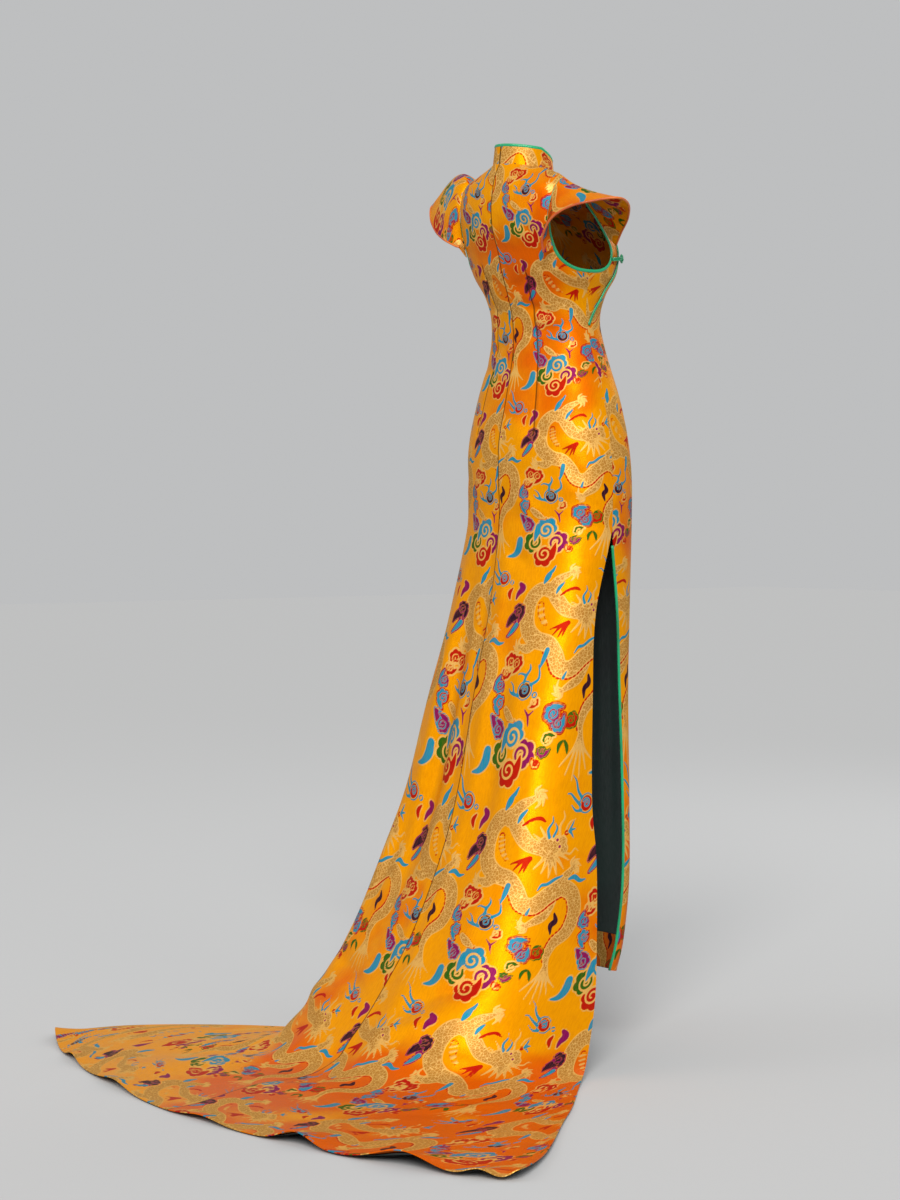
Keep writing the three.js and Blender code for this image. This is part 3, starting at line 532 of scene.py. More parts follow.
# The belly's red stitches, just outside the body's edge
along = np.gradient(spine[:, :2], axis=0)
along /= np.linalg.norm(along, axis=1, keepdims=True)
belly = spine[:, :2] + np.stack([-along[:, 1], along[:, 0]], -1) * (spine[:, 2:3] + 0.6)
run = run_along(belly)
first = np.interp(9.0, np.linspace(0, len(SPINE) - 1, len(spine)), run)
for start in np.arange(first, run[-1] - 10, 7.6):
    at = np.linspace(start, start + 3.6, 4)
    spots = [np.interp(at, run, belly[:, k]) for k in (0, 1)]
    weave("red", np.stack([*spots, np.full(4, 1.7)], -1))

# Mane, head, horns, eyes and whiskers
for end, wide in [
    ((236, 130), 4), ((250, 136), 5), ((264, 132), 4), ((276, 122), 3.4), ((222, 124), 3.4),
    ((284, 108), 3), ((214, 70), 3), ((222, 58), 3.4),
]:
    bend = ((240 + end[0]) / 2 + 4, (92 + end[1]) / 2)
    weave("tan", stroke([(240, 92), bend, end], [wide, wide * 0.8, 1.2]))
weave("tan", [(238, 88, 17), (252, 84, 14), (264, 80, 10), (270, 90, 8)])
for line, widths in [
    ([(258, 70), (256, 56), (262, 44), (258, 34)], [2.2, 1.8, 1.1]),
    ([(272, 96), (284, 98), (292, 90), (300, 94)], [1.8, 1.5, 1.0]),
    ([(266, 70), (272, 52), (284, 46)], [1.8, 1.5, 1.0]),
]:
    weave("tan", stroke(line, widths))
weave("blue", stroke([(240, 74), (236, 62), (242, 50), (240, 42)], [2.6, 2.2, 1.4, 1.0]))
weave("blue", stroke([(247, 72), (251, 60), (246, 52)], [2.2, 1.8, 1.0]))
weave("plum", [(255, 77, 2.6), (261, 87, 2.6)])
weave("tan", [(246, 90, 3)], 0.5)
weave("red", stroke([(194, 58), (206, 50), (220, 46), (229, 50)], [1.4, 3.0, 3.2, 1.6]))
weave(None, stroke([(204, 53), (216, 49), (222, 50)], [0.8, 1.0, 0.8]))
for end in [(184, 118), (190, 128), (200, 132), (207, 130)]:
    weave("red", stroke([(214, 108), ((214 + end[0]) / 2 + 2, 112), end], [4.4, 2.8, 1.1]))
weave("red", [(270, 66, 4.4)])
weave("tan", [(270, 66, 1.7)])
for end in [(281, 48), (287, 60), (285, 74)]:
    weave("blue", stroke([(274, 64), ((276 + end[0]) / 2, (66 + end[1]) / 2 - 2), end], [1.8, 1.8, 1.0]))

# Blue flames along the body
for line, widths in [
    ([(172, 10), (166, 22), (160, 34)], [1.6, 5.6, 2.0]),
    ([(178, 2), (173, 12)], [1.5, 3.2]),
    ([(198, 34), (190, 44), (186, 54)], [1.4, 3.4, 1.4]),
    ([(186, 152), (183, 166), (179, 180)], [4.4, 4.0, 1.3]),
    ([(238, 150), (250, 146), (262, 138), (276, 132)], [1.4, 2.6, 2.6, 1.2]),
    ([(234, 158), (240, 148), (246, 146)], [1.2, 2.0, 1.4]),
    ([(288, 138), (300, 134), (312, 140), (324, 138)], [1.6, 4.0, 3.2, 1.2]),
    ([(222, 196), (226, 186)], [2.8, 1.2]),
]:
    weave("blue", stroke(line, widths))
print("dragon woven; tan covers", round(float((chart["tan"] < 0).mean()), 2), "of the repeat")

# %% [markdown]
# The clouds are scalloped heads with a curl wound into each and one end drawn out to a tip, and they come
# in groups. A cloud is woven three times: its outline, a little larger, then its colour, and its curl in
# the outline's colour again. A flaming pearl is a coloured core with a curl, inside a tan band and a blue
# ring, with blue flames.

# %% Weave the clouds and pearls
# Four clouds in a ring, with a bird-like wisp above and a blue drop beside
tail("plum", [(90, 250), (98, 258), (104, 268)], [1.6, 6, 7], "blue", 2.4)
clouds("plum", [(108, 270, 13, 20, -1)], "blue", 2.4)
tail("blue", [(92, 300), (90, 316), (80, 328), (64, 332)], [7, 8, 5, 1.2])
clouds("green", [(127, 305, 22, 190, 1)])
clouds("plum", [(172, 305, 22, -5, 1)])
clouds("red", [(150, 328, 23, 92, -1)])
clouds("blue", [(149, 281, 24, -88, -1)])

# Red cloud with a blue one below
clouds("red", [(114, 168, 13, -130, 1), (129, 172, 13, -20, 1), (106, 186, 10, 130, -1)], border=3.2)
clouds("blue", [(97, 205, 12, 130, 1)], "plum", 2.4)

# Blue cloud with a red outline, and a tan leaf
clouds("blue", [(102, 232, 13, -140, -1)], "red", 2.4)
tail("tan", [(118, 240), (130, 250), (146, 259)], [5, 7, 1.4], "red", 1.5)

# Dark cloud like a bird, with a blue tail feather
tail("dark", [(90, 110), (98, 98), (110, 90)], [1.5, 6, 8], "plum", 2.4)
clouds("dark", [(113, 84, 13, -60, 1)], "plum", 2.4)
tail("blue", [(112, 108), (104, 118), (94, 128)], [4.5, 3.8, 1.2], "plum", 2.4)

# Stacked clouds, and small ones under them
clouds("red", [(248, 256, 12, 20, 1)], "green", 2.6)
for head in [(216, 248, 14, 190, 1), (226, 262, 12, 80, -1)]:
    weave("red", cloud_head(*head), 4.6)
clouds("blue", [(216, 248, 14, 190, 1), (226, 262, 12, 80, -1)], "plum", 2.2)
clouds("green", [(214, 284, 9, 200, 1)])
clouds("plum", [(207, 301, 9, 120, -1)], "green", 2.2)
clouds("tan", [(198, 318, 7, 90, 1)], "red", 2.0)
for leaf in [[(239, 286), (233, 292), (232, 303)], [(242, 286), (247, 294), (249, 304)]]:
    weave("red", stroke(leaf, [1.8, 3.2, 1.2]), 0.9)
    weave("green", stroke(leaf, [1.8, 3.2, 1.2]))
weave("dark", stroke([(270, 192), (274, 204), (266, 212), (268, 226)], [2.0, 4.6, 4.4, 1.4]))
for line, widths in [
    ([(176, 266), (173, 252), (165, 242)], [1.2, 2.0, 1.2]),
    ([(173, 252), (182, 244)], [1.6, 1.0]),
]:
    weave("plum", stroke(line, widths))

# Small scraps of cloud
tail("plum", [(108, 34), (115, 42), (106, 52), (102, 62)], [3.5, 6.5, 4.5, 1.6])
tail("red", [(90, 42), (84, 51), (87, 62)], [1.4, 4.2, 1.4])
clouds("red", [(180, 232, 8, 0, 1)])


def pearl(u, v, core, size, flames):
    """A flaming pearl: a blue ring round a coloured core with a curl, a small bead, and flames."""
    weave("blue", [(u, v, size)])
    weave("tan", [(u, v, size - 2.6)])
    weave(core, [(u, v, size - 3.9)])
    weave("blue", curl(u, v, size * 0.52, 1.4, 200, 1.5))
    for line in flames:
        weave("blue", stroke([(u + a, v + b) for a, b in line], [2.6, 2.2, 1.6, 1.1]))
    weave("blue", [(u + size + 5.5, v + 7, 5)])
    weave(None, [(u + size + 5.5, v + 7, 2.4)])


pearl(158, 214, "dark", 15, [
    [(-11, 8), (-22, 4), (-28, -8), (-36, -14)],
    [(-20, 6), (-32, 2), (-38, -4)],
    [(-4, -12), (-3, -22), (-14, -26), (-20, -24)],
    [(-2, -22), (4, -32), (2, -40)],
    [(10, -8), (22, -16), (22, -28), (18, -38)],
])
pearl(66, 24, "red", 15, [
    [(-11, -8), (-20, -18), (-26, -32), (-34, -40)],
    [(-13, 2), (-24, -6), (-34, -14), (-40, -14)],
    [(-9, 10), (-20, 10), (-30, 2)],
])
print("clouds and pearls woven")

# %% [markdown]
# Every point of a panel has its place on the flat cloth: how far it lies across from the centre line, and
# how far down from the neck. The chart is read at that place, over and over like the real repeat, and each
# thread's distance is stored on the mesh for the shader. The figures look smaller near the neck than near
# the hem, so a short table says, at even steps down the cloth, how far down and aside to read and how much
# smaller the figures are.

# %% Read the chart


def read_chart(thread, across_mm, down_mm):
    """Distances of one thread at places on the flat cloth, between the chart's own points."""
    field = chart[thread]
    u, v = across_mm / CHART_STEP, down_mm / CHART_STEP
    i, j = np.floor(v).astype(int), np.floor(u).astype(int)
    fu, fv = u - j, v - i
    i1, i2 = i % CHART_ROWS, (i + 1) % CHART_ROWS
    j1, j2 = j % CHART_COLUMNS, (j + 1) % CHART_COLUMNS
    upper = field[i1, j1] * (1 - fu) + field[i1, j2] * fu
    lower = field[i2, j1] * (1 - fu) + field[i2, j2] * fu
    return upper * (1 - fv) + lower * fv


PATTERN_STEP = 380
PATTERN_DOWN = [-210, 330, 794, 1142, 1525, 1905, 2285]
PATTERN_SIZE = [1.42, 1.32, 1.1, 1.0, 1.0, 1.0, 1.0]
PATTERN_ASIDE = [55, 20, 32, 25, -60, -150, -240]


def brocade_marks(across_mm, down_mm, aside=0.0):
    """The thread distances in metres, for every point of a piece; aside shifts the figures across it."""
    place = down_mm / PATTERN_STEP
    size = smooth(PATTERN_SIZE, place)
    u = smooth(PATTERN_ASIDE, place) + aside - across_mm * size
    v = smooth(PATTERN_DOWN, place)
    return {thread: read_chart(thread, u, v) / size / 1000 for thread in THREADS}


neck_marks = brocade_marks(np.array(0.0), np.array(0.0))
print("at the neck:", {thread: round(float(value), 4) for thread, value in neck_marks.items()})

# %% [markdown]
# Shader node groups hold the effects that several finishes share. The first is a fine satin weave: it
# gives the tiny height of the threads and a soft mottling, from the flat cloth's own coordinates, so the
# threads follow every panel. The second is the slow drift between two colours that shot silk shows from
# place to place.

# %% Shared shader groups


def new_group(name, inputs, outputs):
    """An empty shader group with named sockets."""
    group = bpy.data.node_groups.new(name, "ShaderNodeTree")
    for label, kind, value in inputs:
        socket = group.interface.new_socket(label, in_out="INPUT", socket_type=kind)
        socket.default_value = value
    for label, kind in outputs:
        group.interface.new_socket(label, in_out="OUTPUT", socket_type=kind)
    start = group.nodes.new("NodeGroupInput")
    end = group.nodes.new("NodeGroupOutput")
    return group, start, end


def node(tree, kind, links=None, **settings):
    """Adds a node, sets its properties and joins or sets its inputs."""
    made = tree.nodes.new(kind)
    for key, value in settings.items():
        setattr(made, key, value)
    for key, value in (links or {}).items():
        if isinstance(value, bpy.types.NodeSocket):
            tree.links.new(value, made.inputs[key])
        else:
            made.inputs[key].default_value = value
    return made


def mapped(tree, value, low, high, out_low=0.0, out_high=1.0):
    """A value mapped smoothly from one span to another, and held at its ends."""
    return node(tree, "ShaderNodeMapRange", {
        "Value": value, "From Min": low, "From Max": high, "To Min": out_low, "To Max": out_high,
    }, interpolation_type="SMOOTHSTEP").outputs["Result"]


def mixed(tree, factor, a, b):
    """Two colours mixed. A colour mix has its colour inputs at places 6 and 7, and its result at 2."""
    mix = node(tree, "ShaderNodeMix", {"Factor": factor}, data_type="RGBA")
    for socket, value in ((6, a), (7, b)):
        if isinstance(value, bpy.types.NodeSocket):
            tree.links.new(value, mix.inputs[socket])
        else:
            mix.inputs[socket].default_value = value
    return mix.outputs[2]


def math_of(tree, operation, a, b):
    """Two values put through a math node."""
    return node(tree, "ShaderNodeMath", {0: a, 1: b}, operation=operation).outputs[0]


def satin_weave_group():
    """The threads' height, and a slow mottling along them."""
    group, start, end = new_group(
        "Satin weave",
        [("Threads per metre", "NodeSocketFloat", 900.0), ("Slub", "NodeSocketFloat", 0.5)],
        [("Height", "NodeSocketFloat"), ("Mottle", "NodeSocketFloat")],
    )
    cloth = node(group, "ShaderNodeUVMap", uv_map="cloth").outputs["UV"]
    threads = node(group, "ShaderNodeVectorMath", {
        0: cloth, "Scale": start.outputs["Threads per metre"],
    }, operation="SCALE")
    ribs = node(group, "ShaderNodeTexWave", {
        "Vector": threads.outputs[0], "Scale": 0.32, "Distortion": 1.2, "Detail": 1.0,
    }, bands_direction="Y").outputs["Fac"]
    stretched = node(group, "ShaderNodeMapping", {"Vector": cloth, "Scale": (60.0, 12.0, 1.0)})
    slub = node(group, "ShaderNodeTexNoise", {"Vector": stretched.outputs[0], "Scale": 6.0, "Detail": 3.0})
    grain = node(group, "ShaderNodeTexNoise", {"Vector": cloth, "Scale": 420.0, "Detail": 2.0})
    slubbed = math_of(group, "MULTIPLY", slub.outputs["Fac"], start.outputs["Slub"])
    total = math_of(group, "ADD", ribs, slubbed)
    group.links.new(math_of(group, "ADD", total, grain.outputs["Fac"]), end.inputs["Height"])
    group.links.new(slub.outputs["Fac"], end.inputs["Mottle"])
    return group


def colour_drift_group():
    """A slow drift between two colours; Bias leans it towards the warm one."""
    group, start, end = new_group(
        "Colour drift",
        [
            ("Colour", "NodeSocketColor", (0.8, 0.4, 0.02, 1)),
            ("Warm colour", "NodeSocketColor", (0.7, 0.2, 0.01, 1)),
            ("Scale", "NodeSocketFloat", 5.0),
            ("Low", "NodeSocketFloat", 0.45),
            ("High", "NodeSocketFloat", 0.65),
            ("Bias", "NodeSocketFloat", 0.0),
        ],
        [("Colour", "NodeSocketColor"), ("Mask", "NodeSocketFloat")],
    )
    place = node(group, "ShaderNodeTexCoord").outputs["Object"]
    noise = node(group, "ShaderNodeTexNoise", {
        "Vector": place, "Scale": start.outputs["Scale"], "Detail": 3.0, "Roughness": 0.5,
    }).outputs["Fac"]
    biased = math_of(group, "ADD", noise, start.outputs["Bias"])
    mask = mapped(group, biased, start.outputs["Low"], start.outputs["High"])
    mix = mixed(group, mask, start.outputs["Colour"], start.outputs["Warm colour"])
    group.links.new(mix, end.inputs["Colour"])
    group.links.new(mask, end.inputs["Mask"])
    return group


SATIN_WEAVE = satin_weave_group()
COLOUR_DRIFT = colour_drift_group()
print("groups:", [g.name for g in bpy.data.node_groups])

# %% [markdown]
# The figures group turns the stored distances into thread colours. Each colour is laid where its distance
# is below zero. The tan thread gets a paler edge and small scales from a cell pattern, as metal thread is
# couched down on real brocade, and all the figures stand a hair above the ground.

# %% The figures group


def srgb(red, green, blue):
    """A colour given in 0 to 255, as Blender's linear colour."""
    values = [c / 255 for c in (red, green, blue)]
    return tuple(c / 12.92 if c <= 0.04045 else ((c + 0.055) / 1.055) ** 2.4 for c in values) + (1.0,)


THREAD_COLOURS = {
    "tan": srgb(172, 122, 52),
    "red": srgb(164, 12, 8),
    "blue": srgb(8, 122, 150),
    "green": srgb(26, 84, 18),
    "plum": srgb(116, 4, 78),
    "dark": srgb(30, 8, 36),
}


def figures_group():
    """The figures' colours over a ground, a mask of all of them, and a mask of the tan metal thread."""
    group, start, end = new_group(
        "Brocade figures",
        [("Ground", "NodeSocketColor", (0.9, 0.4, 0.01, 1)), ("Edge", "NodeSocketFloat", 0.0005)],
        [("Colour", "NodeSocketColor"), ("Figure", "NodeSocketFloat"), ("Metal", "NodeSocketFloat")],
    )
    cloth = node(group, "ShaderNodeUVMap", uv_map="cloth").outputs["UV"]
    scales = node(group, "ShaderNodeTexVoronoi", {
        "Vector": cloth, "Scale": 190.0,
    }, feature="DISTANCE_TO_EDGE")
    scale_mask = mapped(group, scales.outputs["Distance"], 0.0, 0.09)
    less = math_of(group, "MULTIPLY", start.outputs["Edge"], -1.0)
    colour = start.outputs["Ground"]
    figure = None
    metal = None
    for thread in THREADS:
        marks = node(group, "ShaderNodeAttribute", attribute_name=thread, attribute_type="GEOMETRY")
        distance = marks.outputs["Fac"]
        inside = mapped(group, distance, less, start.outputs["Edge"], 1.0, 0.0)
        thread_colour = THREAD_COLOURS[thread]
        if thread == "tan":
            scaled = mixed(group, scale_mask, srgb(218, 174, 100), thread_colour)
            rim = mapped(group, distance, -0.0024, -0.0012)
            thread_colour = mixed(group, rim, scaled, srgb(210, 162, 84))
            metal = inside
        colour = mixed(group, inside, colour, thread_colour)
        figure = inside if figure is None else math_of(group, "MAXIMUM", figure, inside)
    group.links.new(colour, end.inputs["Colour"])
    group.links.new(figure, end.inputs["Figure"])
    group.links.new(metal, end.inputs["Metal"])
    return group


FIGURES = figures_group()
print("thread colours:", len(THREAD_COLOURS))

# %% [markdown]
# Gold satin changes between yellow and orange as it turns. Its own colour drifts between the two from place
# to place, and a stored value paints light and shade into it. It leans the colour to orange as painted
# shade where the train lies on the floor, and a little on the under-arm panel, the hem facing, the collar
# and the sleeves. It leans it to yellow as painted light down the lower back of the skirt and at the far
# left of the train. Its shine is yellow. The shine comes from the Principled shader's part-metallic base
# and tinted specular, so no colour is mixed by where the camera stands. Broad, shallow ripples of the silk
# are a bump, because they are lower than the mesh is fine. A dark line is drawn along each seam and dart,
# from a stored distance.

# %% The cloth finishes


def finish_material(name, roughness, specular, tint, sheen, sheen_tint, anisotropic):
    """A material with its Principled shader set."""
    material = bpy.data.materials.new(name)
    material.use_nodes = True
    tree = material.node_tree
    shader = tree.nodes["Principled BSDF"]
    for key, value in {
        "Roughness": roughness, "Specular IOR Level": specular, "Specular Tint": tint,
        "Sheen Weight": sheen, "Sheen Tint": sheen_tint, "Sheen Roughness": 0.35,
        "Anisotropic": anisotropic,
    }.items():
        shader.inputs[key].default_value = value
    return material, tree, shader


def placed(tree, group, values):
    """A shared group put into a material, with its own values."""
    return node(tree, "ShaderNodeGroup", values, node_tree=group)


def bump(tree, height, strength, distance, under=None):
    """A normal from a height, on top of another normal if there is one."""
    made = node(tree, "ShaderNodeBump", {"Height": height, "Strength": strength, "Distance": distance})
    if under is not None:
        tree.links.new(under, made.inputs["Normal"])
    return made.outputs["Normal"]


def brocade_material(name, ground, warm):
    """Satin ground that drifts between two colours, with the figures on it."""
    material, tree, shader = finish_material(
        name, 0.42, 0.08, (1.0, 0.7, 0.08, 1), 0.0, (1.0, 0.7, 0.2, 1), 0.3
    )
    # The stored value paints light and shade: it leans the ground to orange as painted shade, or to yellow
    # as painted light.
    lay = node(tree, "ShaderNodeAttribute", attribute_name="lay", attribute_type="GEOMETRY").outputs["Fac"]
    drift = placed(tree, COLOUR_DRIFT, {
        "Colour": ground, "Warm colour": warm, "Scale": 5.5, "Low": 0.46, "High": 0.68, "Bias": lay,
    })
    threads = placed(tree, SATIN_WEAVE, {"Threads per metre": 950.0, "Slub": 0.8})
    figures = placed(tree, FIGURES, {"Ground": drift.outputs["Colour"]})
    stored = node(tree, "ShaderNodeAttribute", attribute_name="seam", attribute_type="GEOMETRY")
    seam = stored.outputs["Fac"]
    seam_dark = mapped(tree, seam, 0.0004, 0.0022, 0.85, 0.0)
    mottled = mapped(tree, threads.outputs["Mottle"], 0.35, 0.7, 0.0, 0.16)
    toned = mixed(tree, mottled, figures.outputs["Colour"], srgb(150, 70, 10))
    seamed = mixed(tree, seam_dark, toned, srgb(70, 34, 8))
    tree.links.new(seamed, shader.inputs["Base Color"])
    rough = mapped(tree, figures.outputs["Figure"], 0.0, 1.0, 0.34, 0.46)
    tree.links.new(rough, shader.inputs["Roughness"])
    metal = mapped(tree, figures.outputs["Metal"], 0.0, 1.0, 0.26, 0.42)
    tree.links.new(metal, shader.inputs["Metallic"])
    cloth = node(tree, "ShaderNodeUVMap", uv_map="cloth").outputs["UV"]
    stretched = node(tree, "ShaderNodeMapping", {"Vector": cloth, "Scale": (9.0, 15.0, 1.0)}).outputs[0]
    ripples = node(tree, "ShaderNodeTexNoise", {"Vector": stretched, "Scale": 1.0, "Detail": 2.0})
    ripple_bump = bump(tree, ripples.outputs["Fac"], 0.5, 0.008)
    figure_bump = bump(tree, figures.outputs["Figure"], 0.35, 0.0006, ripple_bump)
    thread_bump = bump(tree, threads.outputs["Height"], 0.22, 0.0004, figure_bump)
    tree.links.new(thread_bump, shader.inputs["Normal"])
    return material


def satin_material(name, colour, deep, threads_per_metre, roughness=0.33, sheen=0.3):
    """Plain satin that drifts between a colour and a deeper one."""
    sheen_tint = tuple(min(1, c * 2 + 0.1) for c in colour[:3]) + (1,)
    material, tree, shader = finish_material(name, roughness, 0.6, (1, 1, 1, 1), sheen, sheen_tint, 0.4)
    drift = placed(tree, COLOUR_DRIFT, {
        "Colour": colour, "Warm colour": deep, "Scale": 14.0, "Low": 0.35, "High": 0.75,
    })
    threads = placed(tree, SATIN_WEAVE, {"Threads per metre": threads_per_metre, "Slub": 0.4})
    tree.links.new(drift.outputs["Colour"], shader.inputs["Base Color"])
    rough = mapped(tree, threads.outputs["Mottle"], 0.3, 0.8, roughness - 0.05, roughness + 0.1)
    tree.links.new(rough, shader.inputs["Roughness"])
    tree.links.new(bump(tree, threads.outputs["Height"], 0.2, 0.0003), shader.inputs["Normal"])
    return material


BROCADE_CLOTH = brocade_material("gold_brocade", srgb(214, 138, 0), srgb(200, 84, 2))
EDGE_CLOTH = satin_material("rolled_edge", srgb(204, 104, 18), srgb(150, 48, 14), 900.0, 0.42, 0.05)
LINING_SATIN = satin_material("green_lining", srgb(1, 34, 29), srgb(0, 22, 20), 1100.0, 0.42, 0.06)
PIPING_SATIN = satin_material("emerald_satin", srgb(0, 150, 98), srgb(0, 118, 72), 1200.0)
print("finishes:", [cloth.name for cloth in (BROCADE_CLOTH, EDGE_CLOTH, LINING_SATIN, PIPING_SATIN)])

# %% [markdown]
# A panel starts as a grid. Each row runs round the body in even steps, so a point's place along the row is
# also its place across the flat cloth. The grid gets one more row and column of points all round, folded
# in by the cloth's thickness, so that every cut edge has a real depth.

# %% Panels of cloth
DENSE_TURNS = np.linspace(-90, 90, 361)
MIDDLE_TURN = 180
WAIST_RING = 8.0
LOOSER_BY = 0.28
EDGE_ANGLE = 55


def even_rings(surface, start, end, rows, turn=0.0, looser=()):
    """Ring numbers that lie evenly along a panel at a turn, and wider apart after each ring in looser."""
    dense = np.linspace(start, end, 2000)
    line = surface(np.full_like(dense, turn), dense)
    steps = np.linalg.norm(np.diff(line, axis=0), axis=1)
    for ring in looser:
        steps = steps * (1 - LOOSER_BY * step(dense[1:], ring - 1, ring + 1))
    length = np.concatenate([[0], np.cumsum(steps)])
    return np.interp(np.linspace(0, length[-1], rows), length, dense)


def panel_grid(surface, rings, turn_from, turn_to, columns):
    """A grid of points in millimetres, with each one's place across and down the flat cloth."""
    dense = surface(DENSE_TURNS[None, :], rings[:, None])
    points = np.empty((len(rings), columns, 3))
    across_mm = np.empty((len(rings), columns))
    turns = np.empty((len(rings), columns))
    starts = np.broadcast_to(turn_from, rings.shape)
    ends = np.broadcast_to(turn_to, rings.shape)
    for r in range(len(rings)):
        length = run_along(dense[r])
        length -= length[MIDDLE_TURN]
        low, high = np.interp([starts[r], ends[r]], DENSE_TURNS, length)
        across_mm[r] = np.linspace(low, high, columns)
        turns[r] = np.interp(across_mm[r], length, DENSE_TURNS)
        for k in range(3):
            points[r, :, k] = np.interp(across_mm[r], length, dense[r, :, k])
    down = np.broadcast_to(run_along(dense[:, MIDDLE_TURN])[:, None], across_mm.shape).copy()
    below = np.searchsorted(rings, WAIST_RING)
    if below < len(rings) - 1:
        steps = np.linalg.norm(np.diff(points[below:], axis=0), axis=2)
        down[below + 1:] = down[below] + np.cumsum(steps, axis=0)
    return points, turns, across_mm, down


def placed_piece(name, mesh, material):
    """An object of a mesh and a material, which rides on the gown's one body."""
    mesh.materials.append(material)
    made = bpy.data.objects.new(name, mesh)
    bpy.context.scene.collection.objects.link(made)
    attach(made, "root")
    return made


def stand_for(node_name):
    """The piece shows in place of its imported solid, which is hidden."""
    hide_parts(node_name)


def cloth_object(name, grid, marks, uv, material, thick=BROCADE, flip=False):
    """A mesh from a grid in millimetres, with its edges folded in by the cloth's thickness."""
    normal = normals_of(grid)
    inner = grid - normal * thick * (-1 if flip else 1)
    padded = np.pad(inner, ((1, 1), (1, 1), (0, 0)), mode="edge")
    padded[1:-1, 1:-1] = grid
    points = to_frame(padded)
    rows, columns = points.shape[:2]
    number = np.arange(rows * columns).reshape(rows, columns)
    corners = [number[:-1, :-1], number[:-1, 1:], number[1:, 1:], number[1:, :-1]]
    faces = np.stack(corners[::-1] if flip else corners, -1).reshape(-1, 4)
    mesh = bpy.data.meshes.new(name)
    mesh.vertices.add(rows * columns)
    mesh.vertices.foreach_set("co", points.reshape(-1))
    mesh.loops.add(len(faces) * 4)
    mesh.loops.foreach_set("vertex_index", faces.reshape(-1).astype(np.int32))
    mesh.polygons.add(len(faces))
    mesh.polygons.foreach_set("loop_start", np.arange(0, len(faces) * 4, 4, dtype=np.int32))
    mesh.update(calc_edges=True)
    for label, values in marks.items():
        wide = np.pad(np.broadcast_to(values, grid.shape[:2]), 1, mode="edge").reshape(-1)
        stored = mesh.attributes.new(label, "FLOAT", "POINT")
        stored.data.foreach_set("value", wide.astype(np.float32))
    layer = mesh.uv_layers.new(name="cloth")
    places = np.stack([np.pad(places, 1, mode="edge") for places in uv], -1).reshape(-1, 2) / 1000
    layer.data.foreach_set("uv", places[faces.reshape(-1)].reshape(-1).astype(np.float32))
    mesh.shade_smooth()
    mesh.set_sharp_from_angle(angle=math.radians(EDGE_ANGLE))
    return placed_piece(name, mesh, material)


def flat_area(grid):
    """Area of a grid in square metres."""
    side = np.linalg.norm(np.diff(grid, axis=1), axis=2)
    down = np.linalg.norm(np.diff(grid, axis=0), axis=2)
    return float((side[:-1] * down[:, :-1]).sum()) / 1e6


def declare_sheet(piece, grid, wide_mm, long_mm):
    """States the size that a piece was cut to, and its flat area."""
    area = flat_area(grid)
    print(piece.name, "faces", len(piece.data.polygons), "cut", round(wide_mm), "by", round(long_mm),
          "mm, area", round(area, 3))


def down_to(surface, rings, ring):
    """Millimetres down the middle of a panel from its top to a ring."""
    return np.interp(ring, rings, run_along(surface(np.zeros(len(rings)), rings)))


print("panel tools ready")

# %% [markdown]
# Stiff brocade creases where it is pulled in at the waist, where the hips turn, and where the skirt meets
# the floor. Each crease is a soft trough or ridge along a line on the flat cloth, in millimetres across
# and down. They are uneven on purpose. The darts are sharper: a pinched line with a dark seam in it.

# %% Creases and darts
# Each crease is its start across and down, its end across and down, its height and its half width
BACK_CREASES = [
    (-18, 236, -96, 262, -3.2, 10), (24, 250, 92, 236, -2.8, 9), (-30, 292, -104, 276, -2.6, 9),
    (16, 300, 84, 322, -2.8, 10), (-60, 336, -128, 372, -2.6, 12), (50, 352, 118, 340, -2.4, 11),
    (-10, 214, -70, 196, -2.4, 10), (14, 206, 66, 186, -2.6, 10), (-52, 88, -96, 132, -2.8, 11),
    (48, 82, 98, 128, -3.0, 11), (-120, 470, -176, 560, -2.6, 14), (116, 500, 170, 600, -2.8, 14),
    (-36, 430, -120, 470, -3.2, 13), (-30, 560, -110, 600, 3.2, 16), (-20, 640, -100, 690, -3.0, 15),
    (8, 560, 24, 1240, -7.0, 17), (-26, 600, -34, 1180, 3.5, 16), (-70, 780, -84, 1180, -4.5, 20),
    (58, 700, 96, 1240, -7.0, 22), (78, 620, 130, 1180, 5.0, 22), (150, 820, 190, 1300, 5.0, 24),
    (-150, 900, -176, 1280, 3.5, 26), (-110, 1090, -190, 1240, -3.5, 18), (-24, 1080, -36, 1400, 3.5, 18),
    (24, 1160, 40, 1400, -3.5, 16), (110, 1040, 176, 1330, -6.0, 20), (-210, 1350, -60, 1440, -6.0, 20),
    (-190, 1420, -20, 1500, 5.0, 18), (40, 1420, 210, 1350, -7.0, 20), (70, 1480, 250, 1420, 6.0, 20),
    (-330, 1500, -150, 1560, -4.5, 24), (180, 1560, 360, 1480, -5.0, 24), (-120, 1620, 20, 1700, 4.0, 24),
    (60, 1700, 240, 1640, 4.0, 26), (-420, 1640, -260, 1720, 4.0, 26), (-60, 1500, 60, 1560, -4.0, 18),
]
DARTS = dict(rings=(5.6, 7.5, 9, 10.8), turns=(23, 26, 27.5, 27))


def crease_push(creases, across_mm, down):
    """How far creases move the cloth, in millimetres, + outwards."""
    push = np.zeros_like(across_mm)
    for s0, t0, s1, t1, rise, wide in creases:
        ds, dt = s1 - s0, t1 - t0
        reach = math.hypot(ds, dt)
        share = ((across_mm - s0) * ds + (down - t0) * dt) / reach**2
        near = np.clip(share, 0, 1)
        away = np.hypot(across_mm - s0 - near * ds, down - t0 - near * dt)
        fade = step(share, -0.08, 0.35) * (1 - step(share, 0.6, 1.08))
        push += rise * fade * bell(away, wide)
    return push


